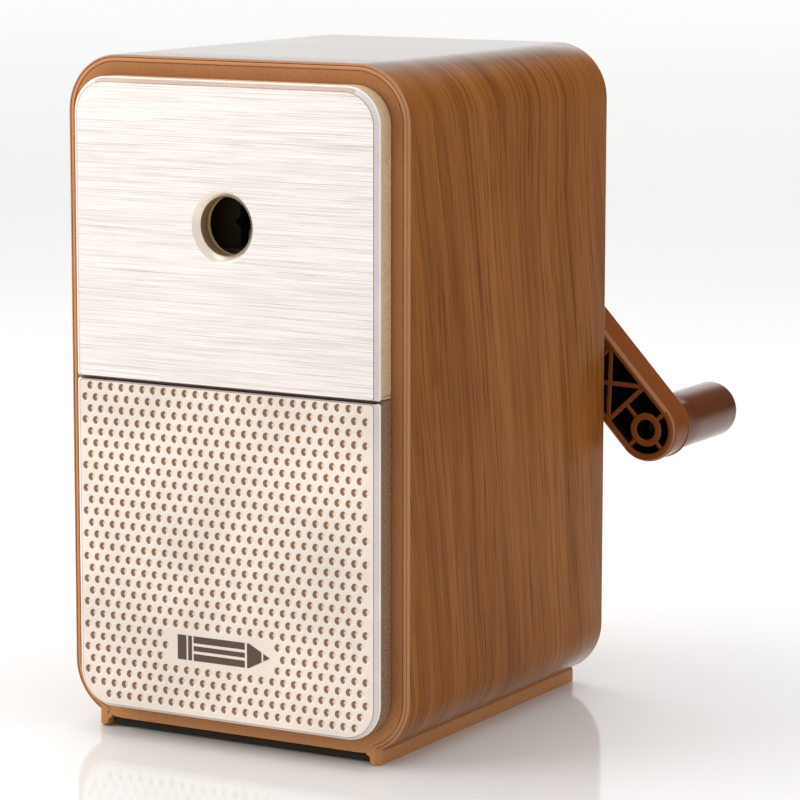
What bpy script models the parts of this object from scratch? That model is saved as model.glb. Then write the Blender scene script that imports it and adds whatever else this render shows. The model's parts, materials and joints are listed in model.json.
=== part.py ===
"""Crank pencil sharpener with a pull-out gripping faceplate and a shavings drawer.

Blender 4.5 script. It models every piece as its own closed solid, in metres, with +Z up.
The sharpener faces -Y, and stands on the two runners under its casing.
Positions are worked out in a casing frame: x = 0 on the middle plane, y = 0 on the front rim and
z = 0 on the surface it stands on. One root empty then puts the origin under the middle of the whole.
"""

import math

import bmesh
import bpy
from mathutils import Vector

MM = 0.001
GAP = 0.3 * MM
RUNNING = 0.1 * MM
UPRIGHT = (math.radians(90), 0, 0)

# Casing
WIDTH = 72 * MM
DEPTH = 78 * MM
SLEEVE_BOTTOM = 2 * MM
SLEEVE_TOP = 127 * MM
CORNER_RADIUS = 10.6 * MM
SLEEVE_WALL = 1.6 * MM
SLEEVE_LIP = 0.8 * MM
LIP_DEPTH = 2.8 * MM
EDGE_ROUND = 0.75 * MM
BEZEL_DEPTH = 9 * MM
BEZEL_RIM = 5.5 * MM
REAR_COVER_BACK = 77.4 * MM
REAR_COVER_THICKNESS = 1.8 * MM
RUNNER_OUTER = 29.5 * MM
RUNNER_WIDTH = 2 * MM
BASE_PLATE_BOTTOM = 0.5 * MM
BASE_PLATE_SETBACK = 5 * MM
RAIL_INNER = 20 * MM
RAIL_OUTER = 27 * MM

# Front panels
SPLIT_Z = 68 * MM
SPLIT_GAP = 0.5 * MM
PANEL_HALF_WIDTH = 32.5 * MM
PANEL_BOTTOM = 5.4 * MM
PANEL_TOP = 123.3 * MM
PANEL_RADIUS = 7 * MM
PANEL_PROUD = 4.4 * MM
PANEL_SKIN = 1.05 * MM
SPLIT_CHAMFER = 0.45 * MM
SHARP_CORNER = 0.6 * MM

# Pencil axis and the parts on it
PENCIL_Z = 97.1 * MM
HOLE_RADIUS = 5.4 * MM
HOLE_MOUTH_RADIUS = 6.35 * MM
APEX_Y = 76 * MM
CUTTER_TILT = math.radians(10)
SHAFT_RADIUS = 2.8 * MM
SHAFT_FRONT = 55.3 * MM
SHAFT_BACK = 86 * MM
BEARING_BOSS_RADIUS = 8.5 * MM
BEARING_BOSS_FRONT = 63 * MM
BEARING_BOSS_BACK = 80.5 * MM
BUSHING_RADIUS = 5 * MM
BUSHING_FLANGE_RADIUS = 6.5 * MM
BUSHING_FLANGE = 1 * MM

# Turning cage and the helical cutter on its tilted axle; the axle's places are counted from the apex
CAGE_RADIUS = 14 * MM
CAGE_HOLE_RADIUS = 4.8 * MM
CAGE_HUB_RADIUS = 6.5 * MM
CAGE_FRONT = 15.2 * MM
CAGE_DISC_BACK = 17.8 * MM
GUIDE_BACK = 51.5 * MM
CAGE_REAR_DISC_BACK = 54.2 * MM
CAGE_BACK = 60.2 * MM
AXLE_RADIUS = 1.3 * MM
AXLE_FRONT = 60.2 * MM
AXLE_BACK = 23.6 * MM
CUTTER_BORE = AXLE_RADIUS + RUNNING
CUTTER_RADIUS = 5 * MM
CUTTER_FRONT = 51 * MM
CUTTER_BACK = 29.6 * MM
CUTTER_BLADES = 14
CUTTER_TWIST = math.radians(40)

# Internal ring gear and the pinion that rolls in it; their pitch cones share the apex
RING_TEETH = 36
PINION_TEETH = 12
GEAR_MODULE = 0.8 * MM
RING_RADIUS = GEAR_MODULE * RING_TEETH / 2
PINION_RADIUS = GEAR_MODULE * PINION_TEETH / 2
TOOTH_HEIGHT = 0.7 * GEAR_MODULE
TOOTH_ROOT = 1.05 * GEAR_MODULE
GEAR_FRONT_SCALE = 1.032
GEAR_BACK_SCALE = 0.968
RING_OUTER_RADIUS = 19 * MM
GEAR_EAR = 2 * MM

# Crank
CRANK_REACH = 62.8 * MM
CRANK_ANGLE = math.radians(-47)
ARM_INNER = 82 * MM
ARM_OUTER = 89.6 * MM
ARM_RADIUS = 6.4 * MM
ARM_WALL = 1.6 * MM
ARM_WEB = 1.9 * MM
HUB_RADIUS = 5.2 * MM
GRIP_BOSS_RADIUS = 3.3 * MM
RIB_WIDTH = 0.9 * MM
BAR_DISTANCE = 6.6 * MM
CROSS_DISTANCE = 11.9 * MM
BAY = 10.5 * MM
BAYS = 5
GRIP_RADIUS = 5.6 * MM
GRIP_EDGE = 1.2 * MM
GRIP_START = ARM_OUTER + GAP
GRIP_END = 113.9 * MM
PIN_RADIUS = 1.7 * MM

# Feed carriage
ROD_X = 24 * MM
ROD_Z = 77.5 * MM
ROD_RADIUS = 1.5 * MM
ROD_END = 73.6 * MM
CLIP_RADIUS = 3.6 * MM
CLIP_FRONT = ROD_END - 1.6 * MM
CLIP_BACK = ROD_END - 0.8 * MM
FEED_SPRING_RADIUS = 2.6 * MM
FEED_SPRING_WIRE = 0.35 * MM
FRAME_WALL_FRONT = 25 * MM
FRAME_WALL_BACK = 28 * MM
JAW_HALF_HEIGHT = 8.6 * MM
JAW_GRIP_X = 1.8 * MM
JAW_THICKNESS = 2.6 * MM
LEFT_JAW_FRONT = 1.2 * MM
RIGHT_JAW_FRONT = 4.3 * MM
JAW_TAIL = 11 * MM
JAW_WINDOW = 10 * MM
JAW_WINDOW_HALF_HEIGHT = 4.6 * MM
JAW_NOTCH = 1.2 * MM
TAB_INNER = 26 * MM
TAB_OUTER = 29.4 * MM
TAB_BACK = 9.2 * MM
CHANNEL_INNER = JAW_HALF_HEIGHT + GAP
CHANNEL_OUTER = 12.5 * MM
CHANNEL_HALF_LENGTH = 22 * MM
RETAINER_FRONT = 8 * MM
RETAINER_BACK = 9.5 * MM

# Drawer and shelf
TRAY_HALF_WIDTH = 29.9 * MM
TRAY_BOTTOM = 8.1 * MM
TRAY_TOP = 62 * MM
TRAY_BACK = 70 * MM
TRAY_WALL = 1.5 * MM
TRAY_RADIUS = 5 * MM
SHELF_HALF_WIDTH = 33.6 * MM
SHELF_BOTTOM = 66.9 * MM
SHELF_TOP = 68.7 * MM
WALL_HALF_WIDTH = 32 * MM
WALL_TOP = 118 * MM
POST_RADIUS = 3.3 * MM

# Screws: (x, y) places on the floor or (x, z) places on a wall
SCREW_RADIUS = 1.1 * MM
SCREW_HEAD_RADIUS = 2.2 * MM
SMALL_SCREW_RADIUS = 0.8 * MM
SMALL_SCREW_HEAD_RADIUS = 1.7 * MM
HUB_SCREW_RADIUS = 1.3 * MM
BASE_SCREW_PLACES = [(x * MM, y * MM) for x in (-24, 24) for y in (16, 66)]
REAR_SCREW_PLACES = [(side * x * MM, z * MM) for side in (-1, 1) for x, z in ((29.5, 71.5), (27, 113))]
GEAR_SCREW_PLACES = [(side * 21.5 * MM, PENCIL_Z) for side in (-1, 1)]
CHANNEL_MIDDLE = (CHANNEL_INNER + CHANNEL_OUTER) / 2
RETAINER_SCREW_PLACES = [(x * 19 * MM, PENCIL_Z + z * CHANNEL_MIDDLE) for x in (-1, 1) for z in (-1, 1)]

GRIP_X = CRANK_REACH * math.cos(CRANK_ANGLE)
CENTRE_X = (GRIP_X + ARM_RADIUS - WIDTH / 2) / 2
CENTRE_Y = (GRIP_END - PANEL_PROUD) / 2

COLOURS = {
    "wood_grain_film": ((0.23, 0.09, 0.035), 0.0, 0.35),
    "tan_plastic": ((0.42, 0.20, 0.085), 0.0, 0.5),
    "brushed_champagne": ((0.83, 0.76, 0.70), 0.7, 0.3),
    "beige_plastic": ((0.57, 0.40, 0.24), 0.0, 0.55),
    "cream_plastic": ((0.84, 0.73, 0.64), 0.0, 0.5),
    "tea_plastic": ((0.27, 0.14, 0.07), 0.0, 0.3),
    "brown_plastic": ((0.17, 0.055, 0.02), 0.0, 0.25),
    "black_plastic": ((0.02, 0.018, 0.016), 0.0, 0.45),
    "grey_plastic": ((0.10, 0.10, 0.10), 0.0, 0.5),
    "white_acetal": ((0.70, 0.69, 0.65), 0.0, 0.4),
    "steel": ((0.60, 0.60, 0.60), 1.0, 0.3),
    "spring_steel": ((0.45, 0.45, 0.46), 1.0, 0.35),
    "brass": ((0.80, 0.60, 0.25), 1.0, 0.3),
}


# ---------------------------------------------------------------- tools


def make_material(name):
    colour, metallic, roughness = COLOURS[name]
    material = bpy.data.materials.new(name)
    material.use_nodes = True
    shader = material.node_tree.nodes["Principled BSDF"]
    shader.inputs["Base Color"].default_value = (*colour, 1)
    shader.inputs["Metallic"].default_value = metallic
    shader.inputs["Roughness"].default_value = roughness
    return material


def empty(name, parent, location=(0, 0, 0), rotation=(0, 0, 0)):
    axis = bpy.data.objects.new(name, None)
    bpy.context.collection.objects.link(axis)
    axis.parent = parent
    axis.location = location
    axis.rotation_euler = rotation
    return axis


def to_object(name, mesh_data, parent, material=None, smooth=None):
    """Turn a bmesh into an object; smooth is the angle in degrees above which an edge stays sharp."""
    bmesh.ops.recalc_face_normals(mesh_data, faces=mesh_data.faces)
    mesh = bpy.data.meshes.new(name)
    mesh_data.to_mesh(mesh)
    mesh_data.free()
    thing = bpy.data.objects.new(name, mesh)
    bpy.context.collection.objects.link(thing)
    thing.parent = parent
    if material:
        mesh.materials.append(make_material(material))
    if smooth:
        mesh.shade_smooth()
        mesh.set_sharp_from_angle(angle=math.radians(smooth))
    return thing


def bridge(sections, closed):
    """Join loops of equal length; a closed run comes back to its first loop, an open one is capped."""
    body = bmesh.new()
    loops = [[body.verts.new(point) for point in section] for section in sections]
    pairs = list(zip(loops, loops[1:]))
    if closed:
        pairs.append((loops[-1], loops[0]))
    else:
        body.faces.new(loops[0])
        body.faces.new(loops[-1])
    for first, second in pairs:
        for index in range(len(first)):
            following = (index + 1) % len(first)
            body.faces.new((first[index], first[following], second[following], second[index]))
    return body


def along_y(outline, y):
    return [(x, y, z) for x, z in outline]


def prism(outline, front, back):
    return bridge([along_y(outline, front), along_y(outline, back)], closed=False)


def box(low, high):
    outline = [(low[0], low[2]), (high[0], low[2]), (high[0], high[2]), (low[0], high[2])]
    return prism(outline, low[1], high[1])


def disc_outline(radius, segments, centre=(0, 0)):
    steps = [2 * math.pi * index / segments for index in range(segments)]
    return [(centre[0] + radius * math.cos(a), centre[1] + radius * math.sin(a)) for a in steps]


def turned(profile, segments=32):
    """Turn (radius, y) points about the Y axis: a loop clear of it, or a path between two points on it."""
    body = bmesh.new()
    points = [body.verts.new((radius, y, 0)) for radius, y in profile]
    edges = [body.edges.new(pair) for pair in zip(points, points[1:])]
    if profile[0][0] > 0:
        edges.append(body.edges.new((points[-1], points[0])))
    bmesh.ops.spin(
        body,
        geom=points + edges,
        cent=(0, 0, 0),
        axis=(0, 1, 0),
        angle=2 * math.pi,
        steps=segments,
        use_merge=True,
    )
    bmesh.ops.remove_doubles(body, verts=body.verts, dist=1e-6)
    return body


def cylinder(radius, front, back, segments=16):
    return prism(disc_outline(radius, segments), front, back)


def rod(radius, front, back, chamfer=0.3 * MM, segments=24):
    profile = [(0, front), (radius - chamfer, front), (radius, front + chamfer)]
    profile += [(radius, back - chamfer), (radius - chamfer, back), (0, back)]
    return turned(profile, segments)


def coil(mean_radius, wire_radius, front, back, turns, steps_per_turn=10, sides=6):
    """Round wire wound about the Y axis."""
    rings = []
    count = int(turns * steps_per_turn)
    for step in range(count + 1):
        angle = 2 * math.pi * step / steps_per_turn
        y = front + wire_radius + (back - front - 2 * wire_radius) * step / count
        ring = []
        for side in range(sides):
            around = 2 * math.pi * side / sides
            radius = mean_radius + wire_radius * math.cos(around)
            height = y + wire_radius * math.sin(around)
            ring.append((radius * math.cos(angle), height, radius * math.sin(angle)))
        rings.append(ring)
    return bridge(rings, closed=False)


def combine(target, mesh_data, operation, location=(0, 0, 0), rotation=(0, 0, 0)):
    """Cut a tool out of the target, or join it on; the tool stays in the scene as a hidden guide."""
    tool = to_object(f"{target.name}_tool", mesh_data, target.parent)
    tool.location = location
    tool.rotation_euler = rotation
    tool.hide_render = True
    tool.display_type = "WIRE"
    modifier = target.modifiers.new(operation.lower(), "BOOLEAN")
    modifier.operation = operation
    modifier.solver = "EXACT"
    modifier.object = tool
    return tool


def cut(target, mesh_data, location=(0, 0, 0), rotation=(0, 0, 0)):
    return combine(target, mesh_data, "DIFFERENCE", location, rotation)


def join(target, mesh_data, location=(0, 0, 0), rotation=(0, 0, 0)):
    return combine(target, mesh_data, "UNION", location, rotation)


def rounded_rectangle(half_width, bottom, top, bottom_radius, top_radius, steps=8):
    """(x, z) outline with its own radius at the bottom and the top corners."""
    corners = [
        (half_width - bottom_radius, bottom + bottom_radius, bottom_radius, -90),
        (half_width - top_radius, top - top_radius, top_radius, 0),
        (-half_width + top_radius, top - top_radius, top_radius, 90),
        (-half_width + bottom_radius, bottom + bottom_radius, bottom_radius, 180),
    ]
    outline = []
    for x, z, radius, start in corners:
        for step in range(steps + 1):
            angle = math.radians(start + 90 * step / steps)
            outline.append((x + radius * math.cos(angle), z + radius * math.sin(angle)))
    return outline


def casing_outline(inset):
    radius = CORNER_RADIUS - inset
    return rounded_rectangle(WIDTH / 2 - inset, SLEEVE_BOTTOM + inset, SLEEVE_TOP - inset, radius, radius)


def casing_ring(section):
    """A frame that follows the casing's outline; section lists (inset, y) points of its wall."""
    return bridge([along_y(casing_outline(inset), y) for inset, y in section], closed=True)


def upper_panel_outline(inset=0.0, split_inset=0.0):
    bottom = SPLIT_Z + SPLIT_GAP / 2 + split_inset
    radius = PANEL_RADIUS - inset
    return rounded_rectangle(PANEL_HALF_WIDTH - inset, bottom, PANEL_TOP - inset, SHARP_CORNER, radius)


def lower_panel_outline(inset=0.0, split_inset=0.0):
    top = SPLIT_Z - SPLIT_GAP / 2 - split_inset
    radius = PANEL_RADIUS - inset
    return rounded_rectangle(PANEL_HALF_WIDTH - inset, PANEL_BOTTOM + inset, top, radius, SHARP_CORNER)


def panel_skin(outline):
    """A thin plate with a chamfer round its front edge."""
    front = -PANEL_PROUD
    back = front + PANEL_SKIN
    rear_edge = back - 0.05 * MM
    return bridge(
        [
            along_y(outline(PANEL_SKIN, SPLIT_CHAMFER), front),
            along_y(outline(), rear_edge),
            along_y(outline(), back),
        ],
        closed=False,
    )


def gear_outline(teeth, tip_radius, root_radius, tip_share, root_share):
    """Toothed outline with a tooth centred on +Z; the shares are the tooth's part of the pitch."""
    pitch = 2 * math.pi / teeth
    outline = []
    for tooth in range(teeth):
        middle = math.pi / 2 + tooth * pitch
        for radius, offset in (
            (root_radius, -root_share / 2),
            (tip_radius, -tip_share / 2),
            (tip_radius, tip_share / 2),
            (root_radius, root_share / 2),
        ):
            angle = middle + offset * pitch
            outline.append((radius * math.cos(angle), radius * math.sin(angle)))
    return outline


def turn_outline(outline, angle):
    cosine = math.cos(angle)
    sine = math.sin(angle)
    return [(x * cosine - z * sine, x * sine + z * cosine) for x, z in outline]


def scaled_to_apex(outline, distance, scale):
    """Put an outline across the axis at a share of its distance from the apex, at the local origin."""
    return [(x * scale, -distance * scale, z * scale) for x, z in outline]


# ---------------------------------------------------------------- casing


def casing_sleeve(root):
    sleeve = casing_ring(
        [
            (0, EDGE_ROUND),
            (0.29 * EDGE_ROUND, 0.29 * EDGE_ROUND),
            (EDGE_ROUND, 0),
            (SLEEVE_LIP, 0),
            (SLEEVE_LIP, LIP_DEPTH),
            (SLEEVE_WALL, LIP_DEPTH),
            (SLEEVE_WALL, DEPTH),
            (EDGE_ROUND, DEPTH),
            (0, DEPTH - EDGE_ROUND),
        ]
    )
    thing = to_object("casing_sleeve", sleeve, root, "wood_grain_film", smooth=30)
    for x, y in BASE_SCREW_PLACES:
        cut(thing, cylinder(SCREW_RADIUS + GAP, 0, 5 * MM), (x, y, 0), UPRIGHT)


def front_bezel(root):
    """Frame that the sleeve's front edge wraps, with a bar behind the line where the two panels meet."""
    flange_back = LIP_DEPTH - GAP
    ring = casing_ring(
        [
            (SLEEVE_LIP + GAP, 0),
            (BEZEL_RIM, 0),
            (BEZEL_RIM, BEZEL_DEPTH),
            (SLEEVE_WALL + GAP, BEZEL_DEPTH),
            (SLEEVE_WALL + GAP, flange_back),
            (SLEEVE_LIP + GAP, flange_back),
        ]
    )
    thing = to_object("front_bezel", ring, root, "tan_plastic", smooth=30)
    reach = WIDTH / 2 - BEZEL_RIM + 1 * MM
    bar_half_height = 1.6 * MM
    bar_low = (-reach, 1 * MM, SPLIT_Z - bar_half_height)
    bar_high = (reach, BEZEL_DEPTH - 1 * MM, SPLIT_Z + bar_half_height)
    join(thing, box(bar_low, bar_high))


def rear_cover(root):
    front = REAR_COVER_BACK - REAR_COVER_THICKNESS
    outline = casing_outline(SLEEVE_WALL + GAP)
    thing = to_object("rear_cover", prism(outline, front, REAR_COVER_BACK), root, "tan_plastic", smooth=30)
    on_axis = (0, 0, PENCIL_Z)
    join(thing, cylinder(BEARING_BOSS_RADIUS, BEARING_BOSS_FRONT, BEARING_BOSS_BACK, 32), on_axis)
    cut(thing, cylinder(BUSHING_RADIUS + GAP, BEARING_BOSS_FRONT - GAP, BEARING_BOSS_BACK + GAP, 32), on_axis)
    for x, z in REAR_SCREW_PLACES:
        cut(thing, cylinder(SCREW_RADIUS + GAP, front - 1 * MM, DEPTH), (x, 0, z))


def base_plate(root):
    """Plate under the sleeve with a runner down each side."""
    plate_side = RUNNER_OUTER - 0.5 * MM
    top = SLEEVE_BOTTOM - GAP
    low = (-plate_side, BASE_PLATE_SETBACK, BASE_PLATE_BOTTOM)
    high = (plate_side, DEPTH - BASE_PLATE_SETBACK, top)
    thing = to_object("base_plate", box(low, high), root, "tan_plastic")
    inner = RUNNER_OUTER - RUNNER_WIDTH
    for side in (-1, 1):
        outline = [(side * inner, 0), (side * RUNNER_OUTER, 0)]
        outline += [(side * RUNNER_OUTER, top + 0.75 * MM), (side * inner, top + 0.15 * MM)]
        join(thing, prism(outline, 0, DEPTH))
    shank = SCREW_RADIUS + GAP
    head = SCREW_HEAD_RADIUS + GAP
    below = -1 * MM
    above = 3 * MM
    countersink = [(0, below), (head, below), (head, 0.7 * MM), (shank, 1.5 * MM), (shank, above), (0, above)]
    for x, y in BASE_SCREW_PLACES:
        cut(thing, turned(countersink, 16), (x, y, 0), UPRIGHT)


def base_screws(root):
    """Countersunk screws from below, through plate and sleeve into the drawer rails."""
    length = 7 * MM
    profile = [(0, 0), (SCREW_HEAD_RADIUS, 0), (SCREW_RADIUS, 1.1 * MM)]
    profile += [(SCREW_RADIUS, length - 1 * MM), (0, length)]
    for index, (x, y) in enumerate(BASE_SCREW_PLACES, start=1):
        screw = to_object(f"base_screw_{index}", turned(profile, 16), root, "steel", smooth=40)
        screw.location = (x, y, BASE_PLATE_BOTTOM + 0.1 * MM)
        screw.rotation_euler = UPRIGHT


def rear_screws(root):
    """Pan-head screws through the rear cover into the mechanism frame's posts."""
    head = 1.3 * MM
    seat = REAR_COVER_BACK + GAP
    tip = seat - 12 * MM
    profile = [(0, tip), (SCREW_RADIUS, tip + 1 * MM), (SCREW_RADIUS, seat), (SCREW_HEAD_RADIUS, seat)]
    profile += [(SCREW_HEAD_RADIUS * 0.8, seat + head), (0, seat + head)]
    for index, (x, z) in enumerate(REAR_SCREW_PLACES, start=1):
        screw = to_object(f"rear_screw_{index}", turned(profile, 16), root, "steel", smooth=40)
        screw.location = (x, 0, z)


def drawer_rails(root):
    for name, side in (("drawer_rail_left", -1), ("drawer_rail_right", 1)):
        edges = sorted((side * RAIL_INNER, side * RAIL_OUTER))
        low = (edges[0], BEZEL_DEPTH + GAP, SLEEVE_BOTTOM + SLEEVE_WALL + GAP)
        high = (edges[1], REAR_COVER_BACK - REAR_COVER_THICKNESS - GAP, TRAY_BOTTOM - GAP)
        rail = to_object(name, box(low, high), root, "grey_plastic")
        for x, y in BASE_SCREW_PLACES:
            if x * side > 0:
                cut(rail, cylinder(SCREW_RADIUS + GAP, 0, 15 * MM), (x, y, 0), UPRIGHT)


def mechanism_frame(root):
    """Shelf between the compartments, the wall that carries the ring gear and the rods, and four posts."""
    back = REAR_COVER_BACK - REAR_COVER_THICKNESS - GAP
    shelf_low = (-SHELF_HALF_WIDTH, BEZEL_DEPTH + GAP, SHELF_BOTTOM)
    shelf_high = (SHELF_HALF_WIDTH, back, SHELF_TOP)
    thing = to_object("mechanism_frame", box(shelf_low, shelf_high), root, "grey_plastic", smooth=30)
    wall_low = (-WALL_HALF_WIDTH, FRAME_WALL_FRONT, SHELF_TOP - 1 * MM)
    wall_high = (WALL_HALF_WIDTH, FRAME_WALL_BACK, WALL_TOP)
    join(thing, box(wall_low, wall_high))
    for x, z in REAR_SCREW_PLACES:
        join(thing, cylinder(POST_RADIUS, FRAME_WALL_BACK - 1.3 * MM, back - 0.5 * MM, 18), (x, 0, z))
        cut(thing, cylinder(SCREW_RADIUS + GAP, 60 * MM, back + 1 * MM), (x, 0, z))
    before = FRAME_WALL_FRONT - 1 * MM
    behind = FRAME_WALL_BACK + 1 * MM
    cut(thing, cylinder(CAGE_RADIUS + 2 * MM, before, behind, 40), (0, 0, PENCIL_Z))
    for x in (-ROD_X, ROD_X):
        cut(thing, cylinder(ROD_RADIUS + RUNNING, before, behind, 20), (x, 0, ROD_Z))
    for x, z in GEAR_SCREW_PLACES:
        cut(thing, cylinder(SCREW_RADIUS + GAP, before, behind), (x, 0, z))
    chute_low = (-17 * MM, 29 * MM, SHELF_BOTTOM - 1 * MM)
    chute_high = (17 * MM, 58 * MM, SHELF_TOP + 1 * MM)
    cut(thing, box(chute_low, chute_high))


def pinion_cone_angle():
    ratio = RING_TEETH / PINION_TEETH
    return math.atan(math.sin(CUTTER_TILT) / (ratio - math.cos(CUTTER_TILT)))


def ring_cone_angle():
    """Half angle of the ring's pitch cone, from the shaft angle and the tooth counts."""
    return CUTTER_TILT + pinion_cone_angle()


def ring_distance():
    """Distance from the apex to the middle of the ring's teeth, along its axis."""
    return RING_RADIUS / math.tan(ring_cone_angle())


def ring_gear(root):
    """Fixed internal gear; its teeth taper towards the apex where the cutter's axis meets the pencil's."""
    distance = ring_distance()
    tip = RING_RADIUS - TOOTH_HEIGHT
    rooted = RING_RADIUS + TOOTH_ROOT
    half_tooth = math.pi / RING_TEETH
    toothed = turn_outline(gear_outline(RING_TEETH, tip, rooted, 0.30, 0.55), half_tooth)
    front = -distance * GEAR_FRONT_SCALE
    back = -distance * GEAR_BACK_SCALE
    rim = [tuple(Vector(point).normalized() * RING_OUTER_RADIUS) for point in toothed]
    body = bridge(
        [
            scaled_to_apex(toothed, distance, GEAR_FRONT_SCALE),
            scaled_to_apex(toothed, distance, GEAR_BACK_SCALE),
            along_y(rim, back),
            along_y(rim, front),
        ],
        closed=True,
    )
    thing = to_object("ring_gear", body, root, "white_acetal", smooth=30)
    thing.location = (0, APEX_Y, PENCIL_Z)
    ear_outline = rounded_rectangle(5 * MM, -3.6 * MM, 3.6 * MM, 3 * MM, 3 * MM, 3)
    for x, z in GEAR_SCREW_PLACES:
        towards_ring = math.copysign(1 * MM, x)
        join(thing, prism(ear_outline, APEX_Y + back - GEAR_EAR, APEX_Y + back), (x - towards_ring, 0, z))
        cut(thing, cylinder(SCREW_RADIUS + GAP, 15 * MM, 30 * MM), (x, 0, z))


def gear_screws(root):
    """Screws that hold the ring gear's two ears on the frame wall."""
    seat = APEX_Y - ring_distance() * GEAR_BACK_SCALE - GEAR_EAR - GAP
    head_front = seat - 1.3 * MM
    profile = [(0, head_front), (SCREW_HEAD_RADIUS * 0.8, head_front), (SCREW_HEAD_RADIUS, seat)]
    profile += [(SCREW_RADIUS, seat), (SCREW_RADIUS, seat + 7 * MM), (0, seat + 8 * MM)]
    for index, (x, z) in enumerate(GEAR_SCREW_PLACES, start=1):
        screw = to_object(f"gear_screw_{index}", turned(profile, 16), root, "steel", smooth=40)
        screw.location = (x, 0, z)


def shaft_bushing(root):
    front = BEARING_BOSS_FRONT - BUSHING_FLANGE - GAP
    flange_back = front + BUSHING_FLANGE
    back = BEARING_BOSS_BACK - GAP
    bore = SHAFT_RADIUS + RUNNING
    profile = [(bore, front), (bore, back), (BUSHING_RADIUS, back), (BUSHING_RADIUS, flange_back)]
    profile += [(BUSHING_FLANGE_RADIUS, flange_back), (BUSHING_FLANGE_RADIUS, front)]
    thing = to_object("shaft_bushing", turned(profile, 32), root, "brass", smooth=30)
    thing.location = (0, 0, PENCIL_Z)


# ---------------------------------------------------------------- feed carriage


def faceplate_skin(carriage):
    plate = panel_skin(upper_panel_outline)
    thing = to_object("faceplate_skin", plate, carriage, "brushed_champagne", smooth=30)
    front = -PANEL_PROUD
    before = front - 1 * MM
    mouth_depth = HOLE_MOUTH_RADIUS - HOLE_RADIUS
    profile = [(0, before), (HOLE_MOUTH_RADIUS + 1 * MM, before)]
    profile += [(HOLE_RADIUS, front + mouth_depth), (HOLE_RADIUS, 0), (0, 0)]
    cut(thing, turned(profile, 40), (0, 0, PENCIL_Z))


def faceplate_carrier(carriage):
    """Moulded plate behind the skin, with rod bosses and the channel that the jaws slide in."""
    front = -PANEL_PROUD + PANEL_SKIN + GAP
    back = -GAP
    body = prism(upper_panel_outline(), front, back)
    thing = to_object("faceplate_carrier", body, carriage, "beige_plastic", smooth=30)
    for x in (-ROD_X, ROD_X):
        join(thing, cylinder(3.2 * MM, back - 0.5 * MM, 5 * MM, 24), (x, 0, ROD_Z))
        cut(thing, cylinder(ROD_RADIUS + GAP, 0.2 * MM, 6 * MM), (x, 0, ROD_Z))
    for side in (-1, 1):
        edges = sorted((PENCIL_Z + side * CHANNEL_INNER, PENCIL_Z + side * CHANNEL_OUTER))
        low = (-CHANNEL_HALF_LENGTH, back - 0.5 * MM, edges[0])
        high = (CHANNEL_HALF_LENGTH, RETAINER_FRONT - GAP, edges[1])
        join(thing, box(low, high))
    cut(thing, cylinder(HOLE_RADIUS, front - 1 * MM, 1 * MM, 40), (0, 0, PENCIL_Z))
    for x, z in RETAINER_SCREW_PLACES:
        cut(thing, cylinder(SMALL_SCREW_RADIUS + GAP, 2 * MM, 12 * MM, 12), (x, 0, z))


def jaw_retainer(carriage):
    low = (-CHANNEL_HALF_LENGTH, RETAINER_FRONT, PENCIL_Z - CHANNEL_OUTER)
    high = (CHANNEL_HALF_LENGTH, RETAINER_BACK, PENCIL_Z + CHANNEL_OUTER)
    thing = to_object("jaw_retainer", box(low, high), carriage, "grey_plastic", smooth=30)
    cut(thing, cylinder(HOLE_RADIUS, 0, 15 * MM, 32), (0, 0, PENCIL_Z))
    for x, z in RETAINER_SCREW_PLACES:
        cut(thing, cylinder(SMALL_SCREW_RADIUS + GAP, 0, 15 * MM, 12), (x, 0, z))


def retainer_screws(carriage):
    seat = RETAINER_BACK + GAP
    head_back = seat + 0.8 * MM
    profile = [(0, seat - 6 * MM), (SMALL_SCREW_RADIUS, seat - 5.5 * MM), (SMALL_SCREW_RADIUS, seat)]
    profile += [(SMALL_SCREW_HEAD_RADIUS, seat), (SMALL_SCREW_HEAD_RADIUS, head_back), (0, head_back)]
    for index, (x, z) in enumerate(RETAINER_SCREW_PLACES, start=1):
        screw = to_object(f"retainer_screw_{index}", turned(profile, 12), carriage, "steel", smooth=40)
        screw.location = (x, 0, z)


def gripping_jaws(carriage):
    """Two crossed plates: each has its finger tab on one side and its gripping edge beyond the pencil."""
    for name, side, front in (("jaw_left", -1, LEFT_JAW_FRONT), ("jaw_right", 1, RIGHT_JAW_FRONT)):
        origin = empty(f"{name}_slide", carriage, (0, 0, PENCIL_Z))
        back = front + JAW_THICKNESS
        plate_edges = sorted((side * TAB_INNER, -side * JAW_TAIL))
        low = (plate_edges[0], front, -JAW_HALF_HEIGHT)
        high = (plate_edges[1], back, JAW_HALF_HEIGHT)
        thing = to_object(name, box(low, high), origin, "black_plastic", smooth=30)
        tab_edges = sorted((side * TAB_OUTER, side * (TAB_INNER - 0.5 * MM)))
        tab_low = (tab_edges[0], LEFT_JAW_FRONT, -JAW_HALF_HEIGHT + 0.6 * MM)
        tab_high = (tab_edges[1], TAB_BACK, JAW_HALF_HEIGHT - 0.6 * MM)
        join(thing, box(tab_low, tab_high))
        grip = -side * JAW_GRIP_X
        window = [
            (side * JAW_WINDOW, -JAW_WINDOW_HALF_HEIGHT),
            (grip, -JAW_WINDOW_HALF_HEIGHT),
            (grip, -JAW_NOTCH),
            (grip - side * JAW_NOTCH, 0),
            (grip, JAW_NOTCH),
            (grip, JAW_WINDOW_HALF_HEIGHT),
            (side * JAW_WINDOW, JAW_WINDOW_HALF_HEIGHT),
        ]
        cut(thing, prism(window, front - 1 * MM, back + 1 * MM))


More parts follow.
